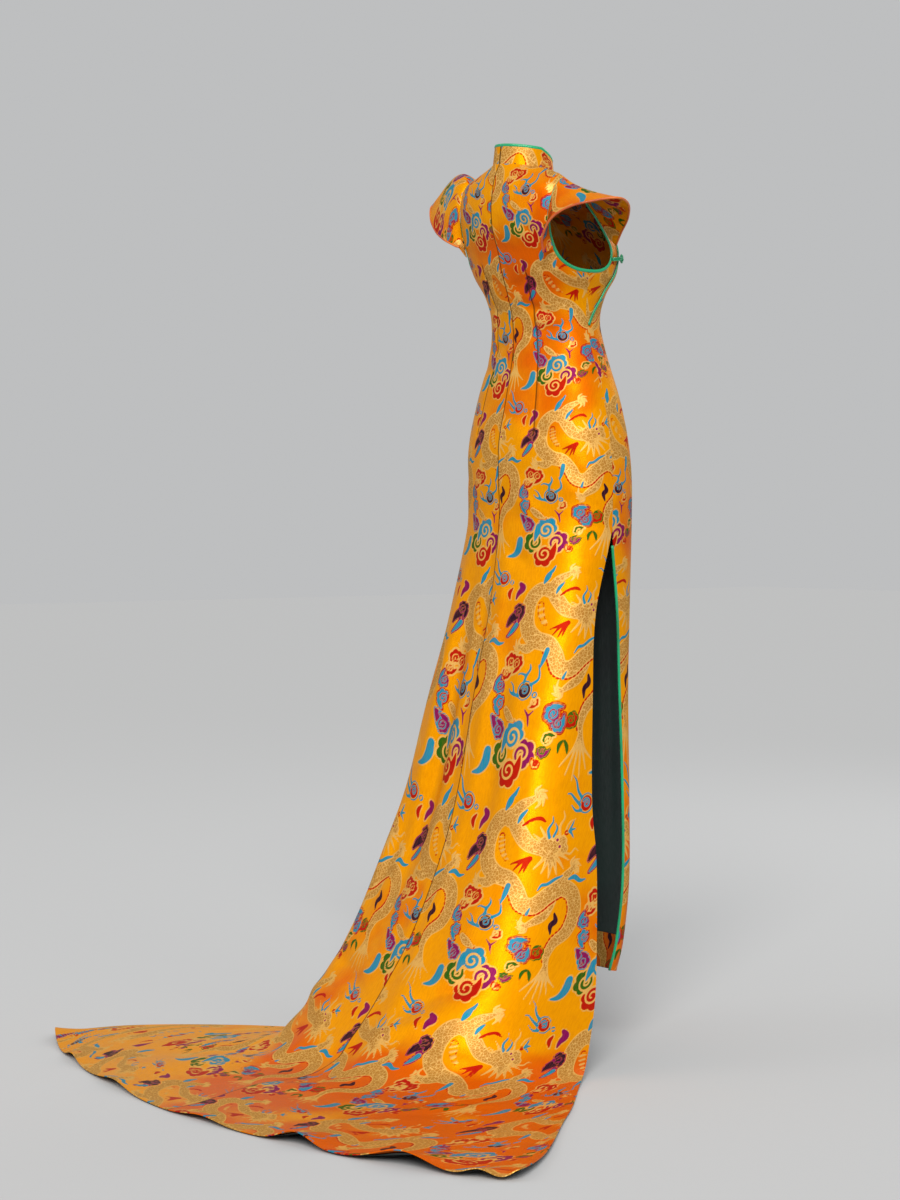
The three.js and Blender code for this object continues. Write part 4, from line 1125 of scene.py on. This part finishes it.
def dart_distance(turns, across_mm, rings):
    """Millimetres from each point of the back to the nearest waist dart."""
    wanted = np.interp(rings, DARTS["rings"], DARTS["turns"])
    beyond = np.maximum(0, DARTS["rings"][0] - rings) + np.maximum(0, rings - DARTS["rings"][-1])
    found = np.full(across_mm.shape, 1000.0)
    for sign in (-1, 1):
        for r in range(len(rings)):
            order = np.argsort(turns[r])
            low, high = turns[r][order[0]], turns[r][order[-1]]
            if low <= sign * wanted[r] <= high:
                place = np.interp(sign * wanted[r], turns[r][order], across_mm[r][order])
                found[r] = np.minimum(found[r], np.abs(across_mm[r] - place))
    return found + beyond[:, None] * 40


print("creases:", len(BACK_CREASES))

# %% [markdown]
# Each half of the back is one length of cloth from the neck to the train's hem. Their folded edges meet at
# the centre back, and the shader draws the seam there as a fine dark line, as sewn seams look from a step
# away. The waist darts are pinched in. The rows of points lie closer on the bodice, where the figures are
# finest, and wider apart below the two rings named in looser. The left half's figures are shifted aside,
# because cloth with so large a repeat is seldom matched across a seam.

# %% The two halves of the back
BACK_ROWS = 730
BACK_COLUMNS = 130
LEFT_ASIDE = -70
SEAM_HALF = 0.15
DART_DEPTH = 1.4
DART_WIDE = 3.5
TRAIN_ABOVE_FLOOR = 2.52


def back_layer(sign, rings, columns):
    """Points of one half of the back, with its creases and its dart."""
    side = sign * side_turn(rings, ARMHOLE["back"])
    grid, turns, across_mm, down = panel_grid(
        back_surface, rings, np.minimum(side, 0), np.maximum(side, 0), columns
    )
    darts = dart_distance(turns, across_mm, rings)
    push = crease_push(BACK_CREASES, across_mm, down) - DART_DEPTH * bell(darts, DART_WIDE)
    push *= step(rings, 0.2, 1.0)[:, None]
    moved = grid + normals_of(grid) * push[..., None]
    moved[..., 2] = np.maximum(moved[..., 2], TRAIN_ABOVE_FLOOR)
    return moved, across_mm, down, darts


def back_lay(grid, down):
    """Painted light and shade: the cloth leans to orange as painted shade where it lies on the floor, and
    to yellow as painted light at the far left of the floor and down the lower skirt.
    """
    on_floor = 1 - step(grid[..., 2], 12, 90)
    far_left = step(grid[..., 0] + 0.51 * grid[..., 1], 290, 480)
    return on_floor * (0.2 - 0.34 * far_left) - (1 - on_floor) * 0.08 * step(down, 500, 900)


back_rings = even_rings(back_surface, 0, TRAIN_HEM, BACK_ROWS, looser=(13, 20.5))
for side_name, sign in (("right", -1), ("left", 1)):
    grid, across_mm, down, darts = back_layer(sign, back_rings, BACK_COLUMNS)
    marks = brocade_marks(across_mm, down, 0 if sign < 0 else LEFT_ASIDE)
    # Orange painted shade where the train lies on the floor, yellow painted light at its far left and down
    # the lower skirt.
    marks["lay"] = back_lay(grid, down)
    marks["seam"] = np.minimum(np.abs(across_mm) + SEAM_HALF, darts) / 1000
    piece = cloth_object(f"back_{side_name}_cloth", grid, marks, (across_mm, down), BROCADE_CLOTH)
    stand_for(f"back_{side_name}")
    declare_sheet(piece, grid, np.ptp(across_mm), down.max())

# %% [markdown]
# The skirt's back and train are lined with dark green satin, which shows at the rolled hem and through the
# slits. The lining is the same surface as the back, with the same creases, moved in by the brocade's
# thickness and a little air. It could be an offset made by a Solidify modifier, but as a piece of its own
# it has its own finish and its faces turn inwards, as the real lining's right side does.

# %% The green lining of the train
LINING_TOP = 12.2
LINING_SIDE = 89.3
LINING_THICK = 0.6
LINING_AIR = 0.7
LINING_ABOVE_FLOOR = 1.4

lining_rings = even_rings(back_surface, LINING_TOP, TRAIN_HEM - 0.12, 210)
grid, turns, across_mm, down = panel_grid(back_surface, lining_rings, -LINING_SIDE, LINING_SIDE, 150)
whole_down = down + down_to(back_surface, back_rings, LINING_TOP)
push = crease_push(BACK_CREASES, across_mm, whole_down)
inside = grid + normals_of(grid) * (push - BROCADE - LINING_AIR)[..., None]
inside[..., 2] = np.maximum(inside[..., 2], LINING_ABOVE_FLOOR)
lining = cloth_object(
    "train_lining", inside, {}, (across_mm, whole_down), LINING_SATIN, LINING_THICK, flip=True
)
stand_for("back_lining")
declare_sheet(lining, inside, np.ptp(across_mm), down.max())

# %% [markdown]
# The front is cut in one piece from the neck to the hem, and laps over to the gown's right side as far as
# the curved opening. A small panel under the right arm lies behind the opening. Both come from one
# surface, so their figures run on across the opening, as they do on a gown that is cut with care.

# %% The front
FRONT_CREASES = [
    (-40, 60, -96, 108, -1.8, 10), (40, 70, 84, 116, -1.6, 10), (-60, 150, -120, 166, -2.0, 10),
    (30, 232, 92, 214, -1.8, 8), (-26, 240, -88, 222, -1.8, 8), (-20, 282, -84, 300, -1.6, 9),
    (26, 296, 98, 284, -1.6, 9), (-70, 400, -130, 440, -1.5, 12), (60, 420, 130, 452, -1.6, 12),
    (-50, 640, -64, 1180, 3.5, 22), (46, 700, 58, 1240, -3.0, 20), (-6, 620, 4, 1100, -2.0, 16),
]
FRONT_ROWS = 520
FRONT_ASIDE = 150
NO_SEAM = 1.0


def front_piece(name, node_name, rings, turn_from, turn_to, columns, lay):
    """A brocade piece of the front, with its creases and figures."""
    grid, turns, across_mm, down = panel_grid(front_surface, rings, turn_from, turn_to, columns)
    push = crease_push(FRONT_CREASES, across_mm, down)
    push *= step(rings, 0.2, 1.0)[:, None]
    grid = grid + normals_of(grid) * push[..., None]
    marks = {**brocade_marks(across_mm, down, FRONT_ASIDE), "lay": lay, "seam": NO_SEAM}
    piece = cloth_object(name, grid, marks, (across_mm, down), BROCADE_CLOTH)
    stand_for(node_name)
    declare_sheet(piece, grid, np.ptp(across_mm), down.max())


front_rings = even_rings(front_surface, 0, FRONT_HEM, FRONT_ROWS)
right_edge = np.where(front_rings < OPENING_RINGS[-1], opening_turn(front_rings), 90)
left_edge = -side_turn(front_rings, ARMHOLE["front"])
front_piece("front_cloth", "front_main", front_rings, left_edge, right_edge, 172, 0.0)

under_rings = front_rings[front_rings < OPENING_RINGS[-1] - 0.02]
under_edge = side_turn(under_rings, ARMHOLE["front"])
# The panel under the arm gets a little painted shade, a lean to orange.
front_piece(
    "under_arm_cloth", "front_under_arm", under_rings, opening_turn(under_rings), under_edge, 40, 0.04
)

# %% [markdown]
# Inside the skirt front hang two more layers: green lining, and below it the brocade's own hem, turned up.
# Both show through the slits. They are made as the train's lining is, from the front's surface moved
# inwards.

# %% Inside the skirt front
TURN_UP_RING = 18
FACING_THICK = 1.2
FACING_DOWN = 1250
FACING_ASIDE = 90
FRONT_LINING_SIDE = 88
FRONT_LINING_AIR = 0.8


def inside_piece(name, node_name, low, high, rows, material, thick, slot):
    """A layer inside the skirt front, from one ring to another."""
    rings = even_rings(front_surface, low, high, rows)
    grid, turns, across_mm, down = panel_grid(
        front_surface, rings, -FRONT_LINING_SIDE, FRONT_LINING_SIDE, 90
    )
    push = crease_push(FRONT_CREASES, across_mm, down + down_to(front_surface, front_rings, low))
    inside = grid + normals_of(grid) * (push - BROCADE - FRONT_LINING_AIR)[..., None]
    marks = {}
    if slot == "brocade":
        marks = brocade_marks(across_mm, down + FACING_DOWN, FACING_ASIDE)
        # The turned-up hem inside the skirt gets a little painted shade, a lean to orange.
        marks.update(lay=0.05, seam=NO_SEAM)
    piece = cloth_object(name, inside, marks, (across_mm, down), material, thick, flip=True)
    stand_for(node_name)
    declare_sheet(piece, inside, np.ptp(across_mm), down.max())


inside_piece(
    "front_skirt_lining", "front_lining", LINING_TOP, TURN_UP_RING - 0.01, 180,
    LINING_SATIN, LINING_THICK, "lining",
)
inside_piece(
    "front_hem_facing", "front_hem_turn_up", TURN_UP_RING, FRONT_HEM - 0.01, 24,
    BROCADE_CLOTH, FACING_THICK, "brocade",
)

# %% [markdown]
# Piping and bindings are narrow folded strips of green satin, cut on the bias so that they bend round
# curves. Each is swept along its line with a rounded, slightly flattened section. Its thickness ripples a
# little along the way, as bias strips do where the stitches draw them in. A curve with a bevel could sweep
# a section too, but here the strip also has to keep its flat side against the cloth, so its rings are set
# out one by one.

# %% Satin strips
STRIP_SIDES = 12
STRIP_ROUND_MM = 12
SQUARENESS = 0.8


def tube_faces(first, rows, sides, closed):
    """The faces between rings of points that start at the number first, and the ends of an open tube."""
    number = first + np.arange(rows * sides).reshape(rows, sides)
    here = number if closed else number[:-1]
    following = np.roll(number, -1, axis=0) if closed else number[1:]
    faces = np.stack([here, np.roll(here, -1, 1), np.roll(following, -1, 1), following], -1)
    ends = [] if closed else [number[0][::-1].tolist(), number[-1].tolist()]
    return faces.reshape(-1, 4).tolist() + ends


def tube_object(name, points, faces, material, place_of):
    """A smooth piece from points in the frame; place_of gives the flat place of a point by its number."""
    mesh = bpy.data.meshes.new(name)
    mesh.from_pydata(points, [], faces)
    layer = mesh.uv_layers.new(name="cloth")
    for loop in mesh.loops:
        layer.data[loop.index].uv = place_of(loop.vertex_index)
    mesh.validate()
    mesh.shade_smooth()
    return placed_piece(name, mesh, material)


def strip_object(name, path, ups, wide, thick, material, closed=False, side_shift=None):
    """A flattened tube along points in millimetres; ups are the outward directions of what it lies on."""
    path = np.asarray(path, float)
    if closed:
        along = np.roll(path, -1, axis=0) - np.roll(path, 1, axis=0)
    else:
        along = np.gradient(path, axis=0)
    along /= np.linalg.norm(along, axis=1, keepdims=True)
    side = np.cross(along, ups)
    side /= np.linalg.norm(side, axis=1, keepdims=True)
    if side_shift is not None:
        toward, reach = side_shift
        side *= np.sign((side * (toward - path)).sum(1, keepdims=True))
        path = path + side * reach
    up = np.cross(side, along)
    up *= np.sign((up * ups).sum(1, keepdims=True))
    run = run_along(path)
    ripple = 1 + 0.05 * np.sin(run / 3.1) + 0.03 * np.sin(run / 1.7 + 1)
    angle = np.linspace(0, 2 * math.pi, STRIP_SIDES, endpoint=False)
    shape_x = np.sign(np.cos(angle)) * np.abs(np.cos(angle)) ** SQUARENESS * wide / 2
    shape_y = np.sign(np.sin(angle)) * np.abs(np.sin(angle)) ** SQUARENESS * thick / 2
    rings = (
        path[:, None]
        + side[:, None] * shape_x[None, :, None]
        + up[:, None] * (shape_y[None, :, None] * ripple[:, None, None])
    )

    def place_of(number):
        """Flat place in metres of a point of the strip."""
        row, k = divmod(number, STRIP_SIDES)
        return k / STRIP_SIDES * STRIP_ROUND_MM / 1000, run[row] / 1000

    faces = tube_faces(0, len(path), STRIP_SIDES, closed)
    return tube_object(name, to_frame(rings.reshape(-1, 3)).tolist(), faces, material, place_of)


def surface_normals(surface, turns, rings):
    """Outward normals of a surface at places given in degrees and ring numbers."""
    t = np.asarray(turns, float)
    r = np.asarray(rings, float)
    side = surface(np.minimum(t + 0.4, 90), r) - surface(np.maximum(t - 0.4, -90), r)
    down = surface(t, r + 0.04) - surface(t, np.maximum(r - 0.04, 0))
    normal = np.cross(side, down)
    return normal / np.linalg.norm(normal, axis=1, keepdims=True)


def armhole_line(sign, share, on_back):
    """Points and outward directions along an armhole; share runs from -1 at its top to 1 at its foot."""
    rings = ARMHOLE_MIDDLE + share * ARMHOLE_HALF
    back_turns = sign * side_turn(rings, ARMHOLE["back"])
    front_turns = -sign * side_turn(rings, ARMHOLE["front"])
    line = np.where(on_back[:, None], back_surface(back_turns, rings), front_surface(front_turns, rings))
    ups = np.where(
        on_back[:, None],
        surface_normals(back_surface, back_turns * 0.99, rings),
        surface_normals(front_surface, front_turns * 0.99, rings),
    )
    return line, ups


PIPING_WIDE = 5.0
OPENING_THICK = 2.4
OPENING_LIFT = 1.7
SLIT_THICK = 3.4
SLIT_OVER = 0.8

rings = np.linspace(0.02, OPENING_RINGS[-1] - 0.08, 150)
path = front_surface(opening_turn(rings), rings)
ups = surface_normals(front_surface, np.minimum(opening_turn(rings), 89), rings)
opening_piping = strip_object(
    "opening_piping_satin", path + ups * OPENING_LIFT, ups, PIPING_WIDE, OPENING_THICK, PIPING_SATIN
)
stand_for("opening_piping")

for side_name, sign in (("right", 1), ("left", -1)):
    rings = even_rings(front_surface, SLIT_TOP + 0.25, FRONT_HEM, 150, sign * 90)
    path, within = (front_surface(np.full_like(rings, sign * turn), rings) for turn in (90.0, 80.0))
    ups = surface_normals(front_surface, np.full_like(rings, sign * 88.0), rings)
    piece = strip_object(
        f"slit_piping_{side_name}_satin", path - ups * BROCADE / 2, ups, PIPING_WIDE, SLIT_THICK,
        PIPING_SATIN, side_shift=(within, -(PIPING_WIDE / 2 - SLIT_OVER)),
    )
    stand_for(f"slit_piping_{side_name}")
print("opening and slit pipings laid")

# %% [markdown]
# The armholes are bound with the same satin, folded over the raw edge. Each binding is a closed ring that
# runs down the back and up the front. The outward directions are averaged with their neighbours, so that
# the ring turns over gently where back and front meet.

# %% Armhole bindings
BINDING_WIDE = 5.5
BINDING_THICK = 3.2
BINDING_OVER = 1.2

for side_name, sign in (("right", -1), ("left", 1)):
    clock = np.linspace(0, 2 * math.pi, 120, endpoint=False)
    share = np.sign(np.cos(clock)) * np.abs(np.cos(clock)) ** (2 / ARMHOLE["full"])
    path, ups = armhole_line(sign, share, clock < math.pi)
    ups = (np.roll(ups, 1, 0) + 2 * ups + np.roll(ups, -1, 0)) / 4
    piece = strip_object(
        f"armhole_binding_{side_name}_satin", path - ups * BROCADE / 2, ups, BINDING_WIDE, BINDING_THICK,
        PIPING_SATIN, closed=True, side_shift=(path.mean(0), BINDING_WIDE / 2 - BINDING_OVER),
    )
    stand_for(f"armhole_binding_{side_name}")
print("armholes bound")

# %% [markdown]
# The stand collar is a stiff strip of brocade that leans in slightly towards the neck. It is split at the
# centre back, where the gown closes, and its front corners are rounded. A green binding runs along the top
# and down the front corners.

# %% The collar
COLLAR_HEIGHT = 29
COLLAR_LEAN = 3
COLLAR_CORNER = 150.0
COLLAR_END = 172.6
COLLAR_FLAT = 36
COLLAR_EDGE = 2.4
COLLAR_WALL = 2.2
COLLAR_DOWN = 250
COLLAR_ASIDE = -31


def collar_points(sign, turns, share):
    """Points of the collar; turns run from 0 at the centre back to COLLAR_END near the centre front."""
    back = back_surface(sign * np.minimum(turns, 90), np.zeros_like(turns))
    front_points = front_surface(-sign * (180 - np.maximum(turns, 90)), np.zeros_like(turns))
    base = np.where((turns > 90)[:, None], front_points, back)
    corner = np.clip((turns - COLLAR_CORNER) / (COLLAR_END - COLLAR_CORNER), 0, 1)
    high = COLLAR_HEIGHT * (0.2 + 0.8 * np.sqrt(np.maximum(0, 1 - corner * corner)))
    inwards = np.stack([-base[:, 0], SHOULDER_BACK - 5 - base[:, 1], 0 * turns], -1)
    inwards /= np.linalg.norm(inwards, axis=1, keepdims=True)
    points = base + inwards * (COLLAR_LEAN * share * high / COLLAR_HEIGHT)[:, None]
    points[:, 2] += 0.5 + share * high
    return points


def stiffen(piece, wall_mm):
    """Gives a shell its wall, on the inner side of its faces."""
    wall = piece.modifiers.new("stiffening", "SOLIDIFY")
    wall.thickness = wall_mm / 1000
    wall.offset = -1


for side_name, sign in (("right", -1), ("left", 1)):
    eased = np.linspace(0, 1, 110)
    turns = 0.5 + (COLLAR_END - 0.5) * (1 - (1 - eased) ** 1.35)
    if sign < 0:
        turns = turns[::-1]
    shares = np.linspace(1, -0.05, 16)
    grid = np.stack([collar_points(sign, turns, share) for share in shares])
    down = np.broadcast_to((1 - shares)[:, None] * COLLAR_HEIGHT, grid.shape[:2])
    run = run_along(grid[8])
    across_mm = np.broadcast_to((run - (run[-1] if sign < 0 else 0))[None, :], grid.shape[:2])
    marks = brocade_marks(across_mm, down + COLLAR_DOWN, COLLAR_ASIDE)
    # A little painted shade leans the collar to orange.
    marks.update(lay=0.03, seam=np.abs(across_mm) / 1000)
    piece = cloth_object(
        f"collar_{side_name}_cloth", grid, marks, (across_mm, down), BROCADE_CLOTH, COLLAR_EDGE
    )
    stiffen(piece, COLLAR_WALL)
    stand_for(f"collar_{side_name}")
    declare_sheet(piece, grid, np.ptp(across_mm), COLLAR_FLAT)
    ups = normals_of(grid)[0]
    binding = strip_object(
        f"collar_binding_{side_name}_satin", grid[0] - ups * 1.1, ups, BINDING_WIDE, 3.6, PIPING_SATIN,
        side_shift=(grid[3], -(BINDING_WIDE / 2 - 1.4)),
    )
    stand_for(f"collar_binding_{side_name}")
print("collar made, centre back at", to_frame(collar_points(1, np.array([0.5]), 1.0)).round(3))

# %% [markdown]
# The wing sleeves are stiff curved leaves. They start along the armhole seam and flare out to a free edge,
# which is rolled over a thin cord. The roll is too narrow to show figures, so it is plain satin in the
# brocade's ground colours. The sleeves are faced with the brocade inside, so both faces show it. Each
# sleeve is stretched between two lines, the armhole and a free edge set by ten points, and raised between
# them by its own bulge.

# %% The wing sleeves
CAP_WALL = 2.2
CAP_CLEAR = -0.4
CAP_ENDS = dict(back=0.66, front=0.52)
CAP_BULGES = dict(right=-4, left=30)
CAP_SKEW = 0.75
CAP_EDGES = dict(
    right=[
        (115, 108, 1315), (121, 116, 1338), (142, 117, 1366), (170, 104, 1384), (202, 80, 1393),
        (228, 48, 1398), (208, 8, 1392), (174, -21, 1374), (146, -31, 1353), (128, -36, 1335),
    ],
    left=[
        (110, 103, 1340), (130, 105, 1347), (158, 102, 1358), (190, 93, 1374), (223, 78, 1400),
        (242, 56, 1426), (228, 14, 1430), (188, -18, 1404), (148, -32, 1366), (128, -36, 1337),
    ],
)
CAP_ROWS = 121
CAP_COLUMNS = 36
CAP_DOWN = 300
CAP_ASIDE = 40
ROLL_WIDE = 3.4
ROLL_THICK = 3.6

for side_name, sign in (("right", -1), ("left", 1)):
    share = np.linspace(0, 1, CAP_ROWS)
    on_back = share <= 0.5
    ends = np.where(on_back, CAP_ENDS["back"], CAP_ENDS["front"])
    start, ups = armhole_line(sign, -np.cos(math.pi * ends * np.abs(2 * share - 1)), on_back)
    start = start + ups * (CAP_CLEAR + CAP_WALL)
    edges = np.array(CAP_EDGES[side_name], float) * (sign, 1, 1)
    along = share * (len(edges) - 1)
    edge = np.stack([smooth(edges[:, k], along) for k in range(3)], -1)
    outward = np.linspace(0, 1, CAP_COLUMNS)
    grid = start[:, None] * (1 - outward)[None, :, None] + edge[:, None] * outward[None, :, None]
    rise = np.sin(math.pi * share)[:, None] * np.sin(math.pi * outward**CAP_SKEW)[None]
    grid[..., 2] += CAP_BULGES[side_name] * rise
    if sign < 0:
        grid = grid[::-1]
    reach = np.linalg.norm(grid - grid[:, :1], axis=2)
    run = run_along(grid[:, CAP_COLUMNS // 2])
    down = np.broadcast_to(run[:, None], reach.shape)
    flip = bool(np.median(normals_of(grid)[..., 2]) < 0)
    marks = brocade_marks(down, reach + CAP_DOWN, CAP_ASIDE)
    # A little painted shade leans the sleeve to orange.
    marks.update(lay=0.02, seam=NO_SEAM)
    piece = cloth_object(
        f"wing_sleeve_{side_name}_cloth", grid, marks, (down, reach), BROCADE_CLOTH, 0.0, flip
    )
    stiffen(piece, CAP_WALL)
    stand_for(f"cap_sleeve_{side_name}")
    declare_sheet(piece, grid, reach.max(), run[-1])
    rim = grid[:, -1]
    rim_ups = normals_of(grid)[:, -1] * (-1 if flip else 1)
    roll = strip_object(
        f"wing_roll_{side_name}_cloth", rim - rim_ups * CAP_WALL / 2, rim_ups, ROLL_WIDE, ROLL_THICK,
        EDGE_CLOTH, side_shift=(grid[:, -4], -1.0),
    )
    stand_for(f"cap_piping_{side_name}")
    print(piece.name, "reaches", round(float(np.abs(grid[..., 0]).max())), "mm out")

# %% [markdown]
# A frog is a fastening of satin cord: two sewn-down bars, each a cord folded back on itself, with a
# knotted ball on one and a loop on the other. The ball is a small knot of the same cord, made here as a
# tube along a knot curve.

# %% Frog fastenings
FROG_HALF = 27
FROG_LIFT = 7.6
CORD = 1.55
CORD_SIDES = 10
CORD_HALF_APART = 1.65
KNOT_SIZE = 3.6
KNOT_CORD = 1.35
LOOP_RADIUS = 6.2


def tube_points(points, radius):
    """Rings of a round cord along points in millimetres."""
    points = np.asarray(points, float)
    along = np.gradient(points, axis=0)
    along /= np.linalg.norm(along, axis=1, keepdims=True)
    up = np.array([0.13, 0.21, 0.97])
    side = np.cross(along, up)
    side /= np.linalg.norm(side, axis=1, keepdims=True)
    up = np.cross(side, along)
    angle = np.linspace(0, 2 * math.pi, CORD_SIDES, endpoint=False)
    return (
        points[:, None]
        + side[:, None] * (np.cos(angle) * radius)[None, :, None]
        + up[:, None] * (np.sin(angle) * radius)[None, :, None]
    )


def joined_cords(name, cords):
    """Several cords as one piece."""
    verts, faces = [], []
    for points, radius, closed in cords:
        rings = tube_points(points, radius)
        faces += tube_faces(len(verts), len(rings), CORD_SIDES, closed)
        verts += to_frame(rings.reshape(-1, 3)).tolist()
    return tube_object(name, verts, faces, PIPING_SATIN, lambda k: (verts[k][0] + verts[k][1], verts[k][2]))


def knot_curve(centre, up, side, size):
    """A closed trefoil-like knot that fills a small ball."""
    t = np.linspace(0, 2 * math.pi, 90, endpoint=False)
    x = (2 + np.cos(3 * t)) * np.cos(2 * t)
    y = (2 + np.cos(3 * t)) * np.sin(2 * t)
    z = np.sin(3 * t) * 1.5
    third = np.cross(up, side)
    return centre + (x[:, None] * side + y[:, None] * third + z[:, None] * up) * size / 3


for name, ring, lean in (("neck", 0.4, 0.0), ("chest", 5.3, 0.1)):
    middle = float(opening_turn(np.array([ring]))[0])
    spot = front_surface(np.array([middle, middle + 5]), np.array([ring, ring]))
    scale = np.linalg.norm(spot[1] - spot[0]) / 5
    up = surface_normals(front_surface, [middle], [ring])[0]
    ball_centre = spot[0] + up * FROG_LIFT
    for half, sign in (("knot", -1), ("loop", 1)):
        share = np.linspace(0.1 if sign < 0 else 0.26, 1, 20)
        turns = middle + sign * share * FROG_HALF / scale
        rings = np.maximum(ring + sign * share * lean, 0.02)
        line = front_surface(turns, rings)
        ups = surface_normals(front_surface, turns, rings)
        lift = FROG_LIFT + (2.5 - FROG_LIFT) * step(share, 0.3, 0.9)
        line = line + ups * lift[:, None]
        along = np.gradient(line, axis=0)
        along /= np.linalg.norm(along, axis=1, keepdims=True)
        beside = np.cross(along, ups)
        upper = line + beside * CORD_HALF_APART
        lower = line - beside * CORD_HALF_APART
        bend = np.linspace(0, math.pi, 8)[1:-1, None]
        end = line[-1] + CORD_HALF_APART * (np.cos(bend) * beside[-1] + np.sin(bend) * along[-1])
        cords = [(np.concatenate([upper, end, lower[::-1]]), CORD, False)]
        if half == "knot":
            cords.append((knot_curve(ball_centre, up, beside[0], KNOT_SIZE), KNOT_CORD, True))
        else:
            circle = np.linspace(0, 2 * math.pi, 40, endpoint=False)[:, None]
            third = np.cross(up, beside[0])
            hoop = ball_centre + LOOP_RADIUS * (np.cos(circle) * beside[0] + np.sin(circle) * third)
            cords.append((hoop, CORD, True))
        piece = joined_cords(f"frog_{name}_{half}_cord", cords)
        stand_for(f"frog_{name}_{half}")
print("frogs made")

# %% [markdown]
# The gown stands on a plain, pale floor that has no shine, so that only soft shadows show where the train
# lies on it. A curved sweep of paper would do the same in a studio, but the room's light already hides the
# horizon. The floor belongs to the stage and not to the part.

# %% The studio floor
bpy.ops.mesh.primitive_plane_add(size=40, location=(0, 0, FLOOR))
floor = bpy.context.object
floor.name = "studio_floor"
floor_material = bpy.data.materials.new("pale_floor")
floor_material.use_nodes = True
floor_look = floor_material.node_tree.nodes["Principled BSDF"].inputs
floor_values = {"Base Color": (0.455, 0.46, 0.465, 1), "Roughness": 1.0, "Specular IOR Level": 0.0}
for socket, value in floor_values.items():
    floor_look[socket].default_value = value
floor.data.materials.append(floor_material)
print("floor laid at", FLOOR)
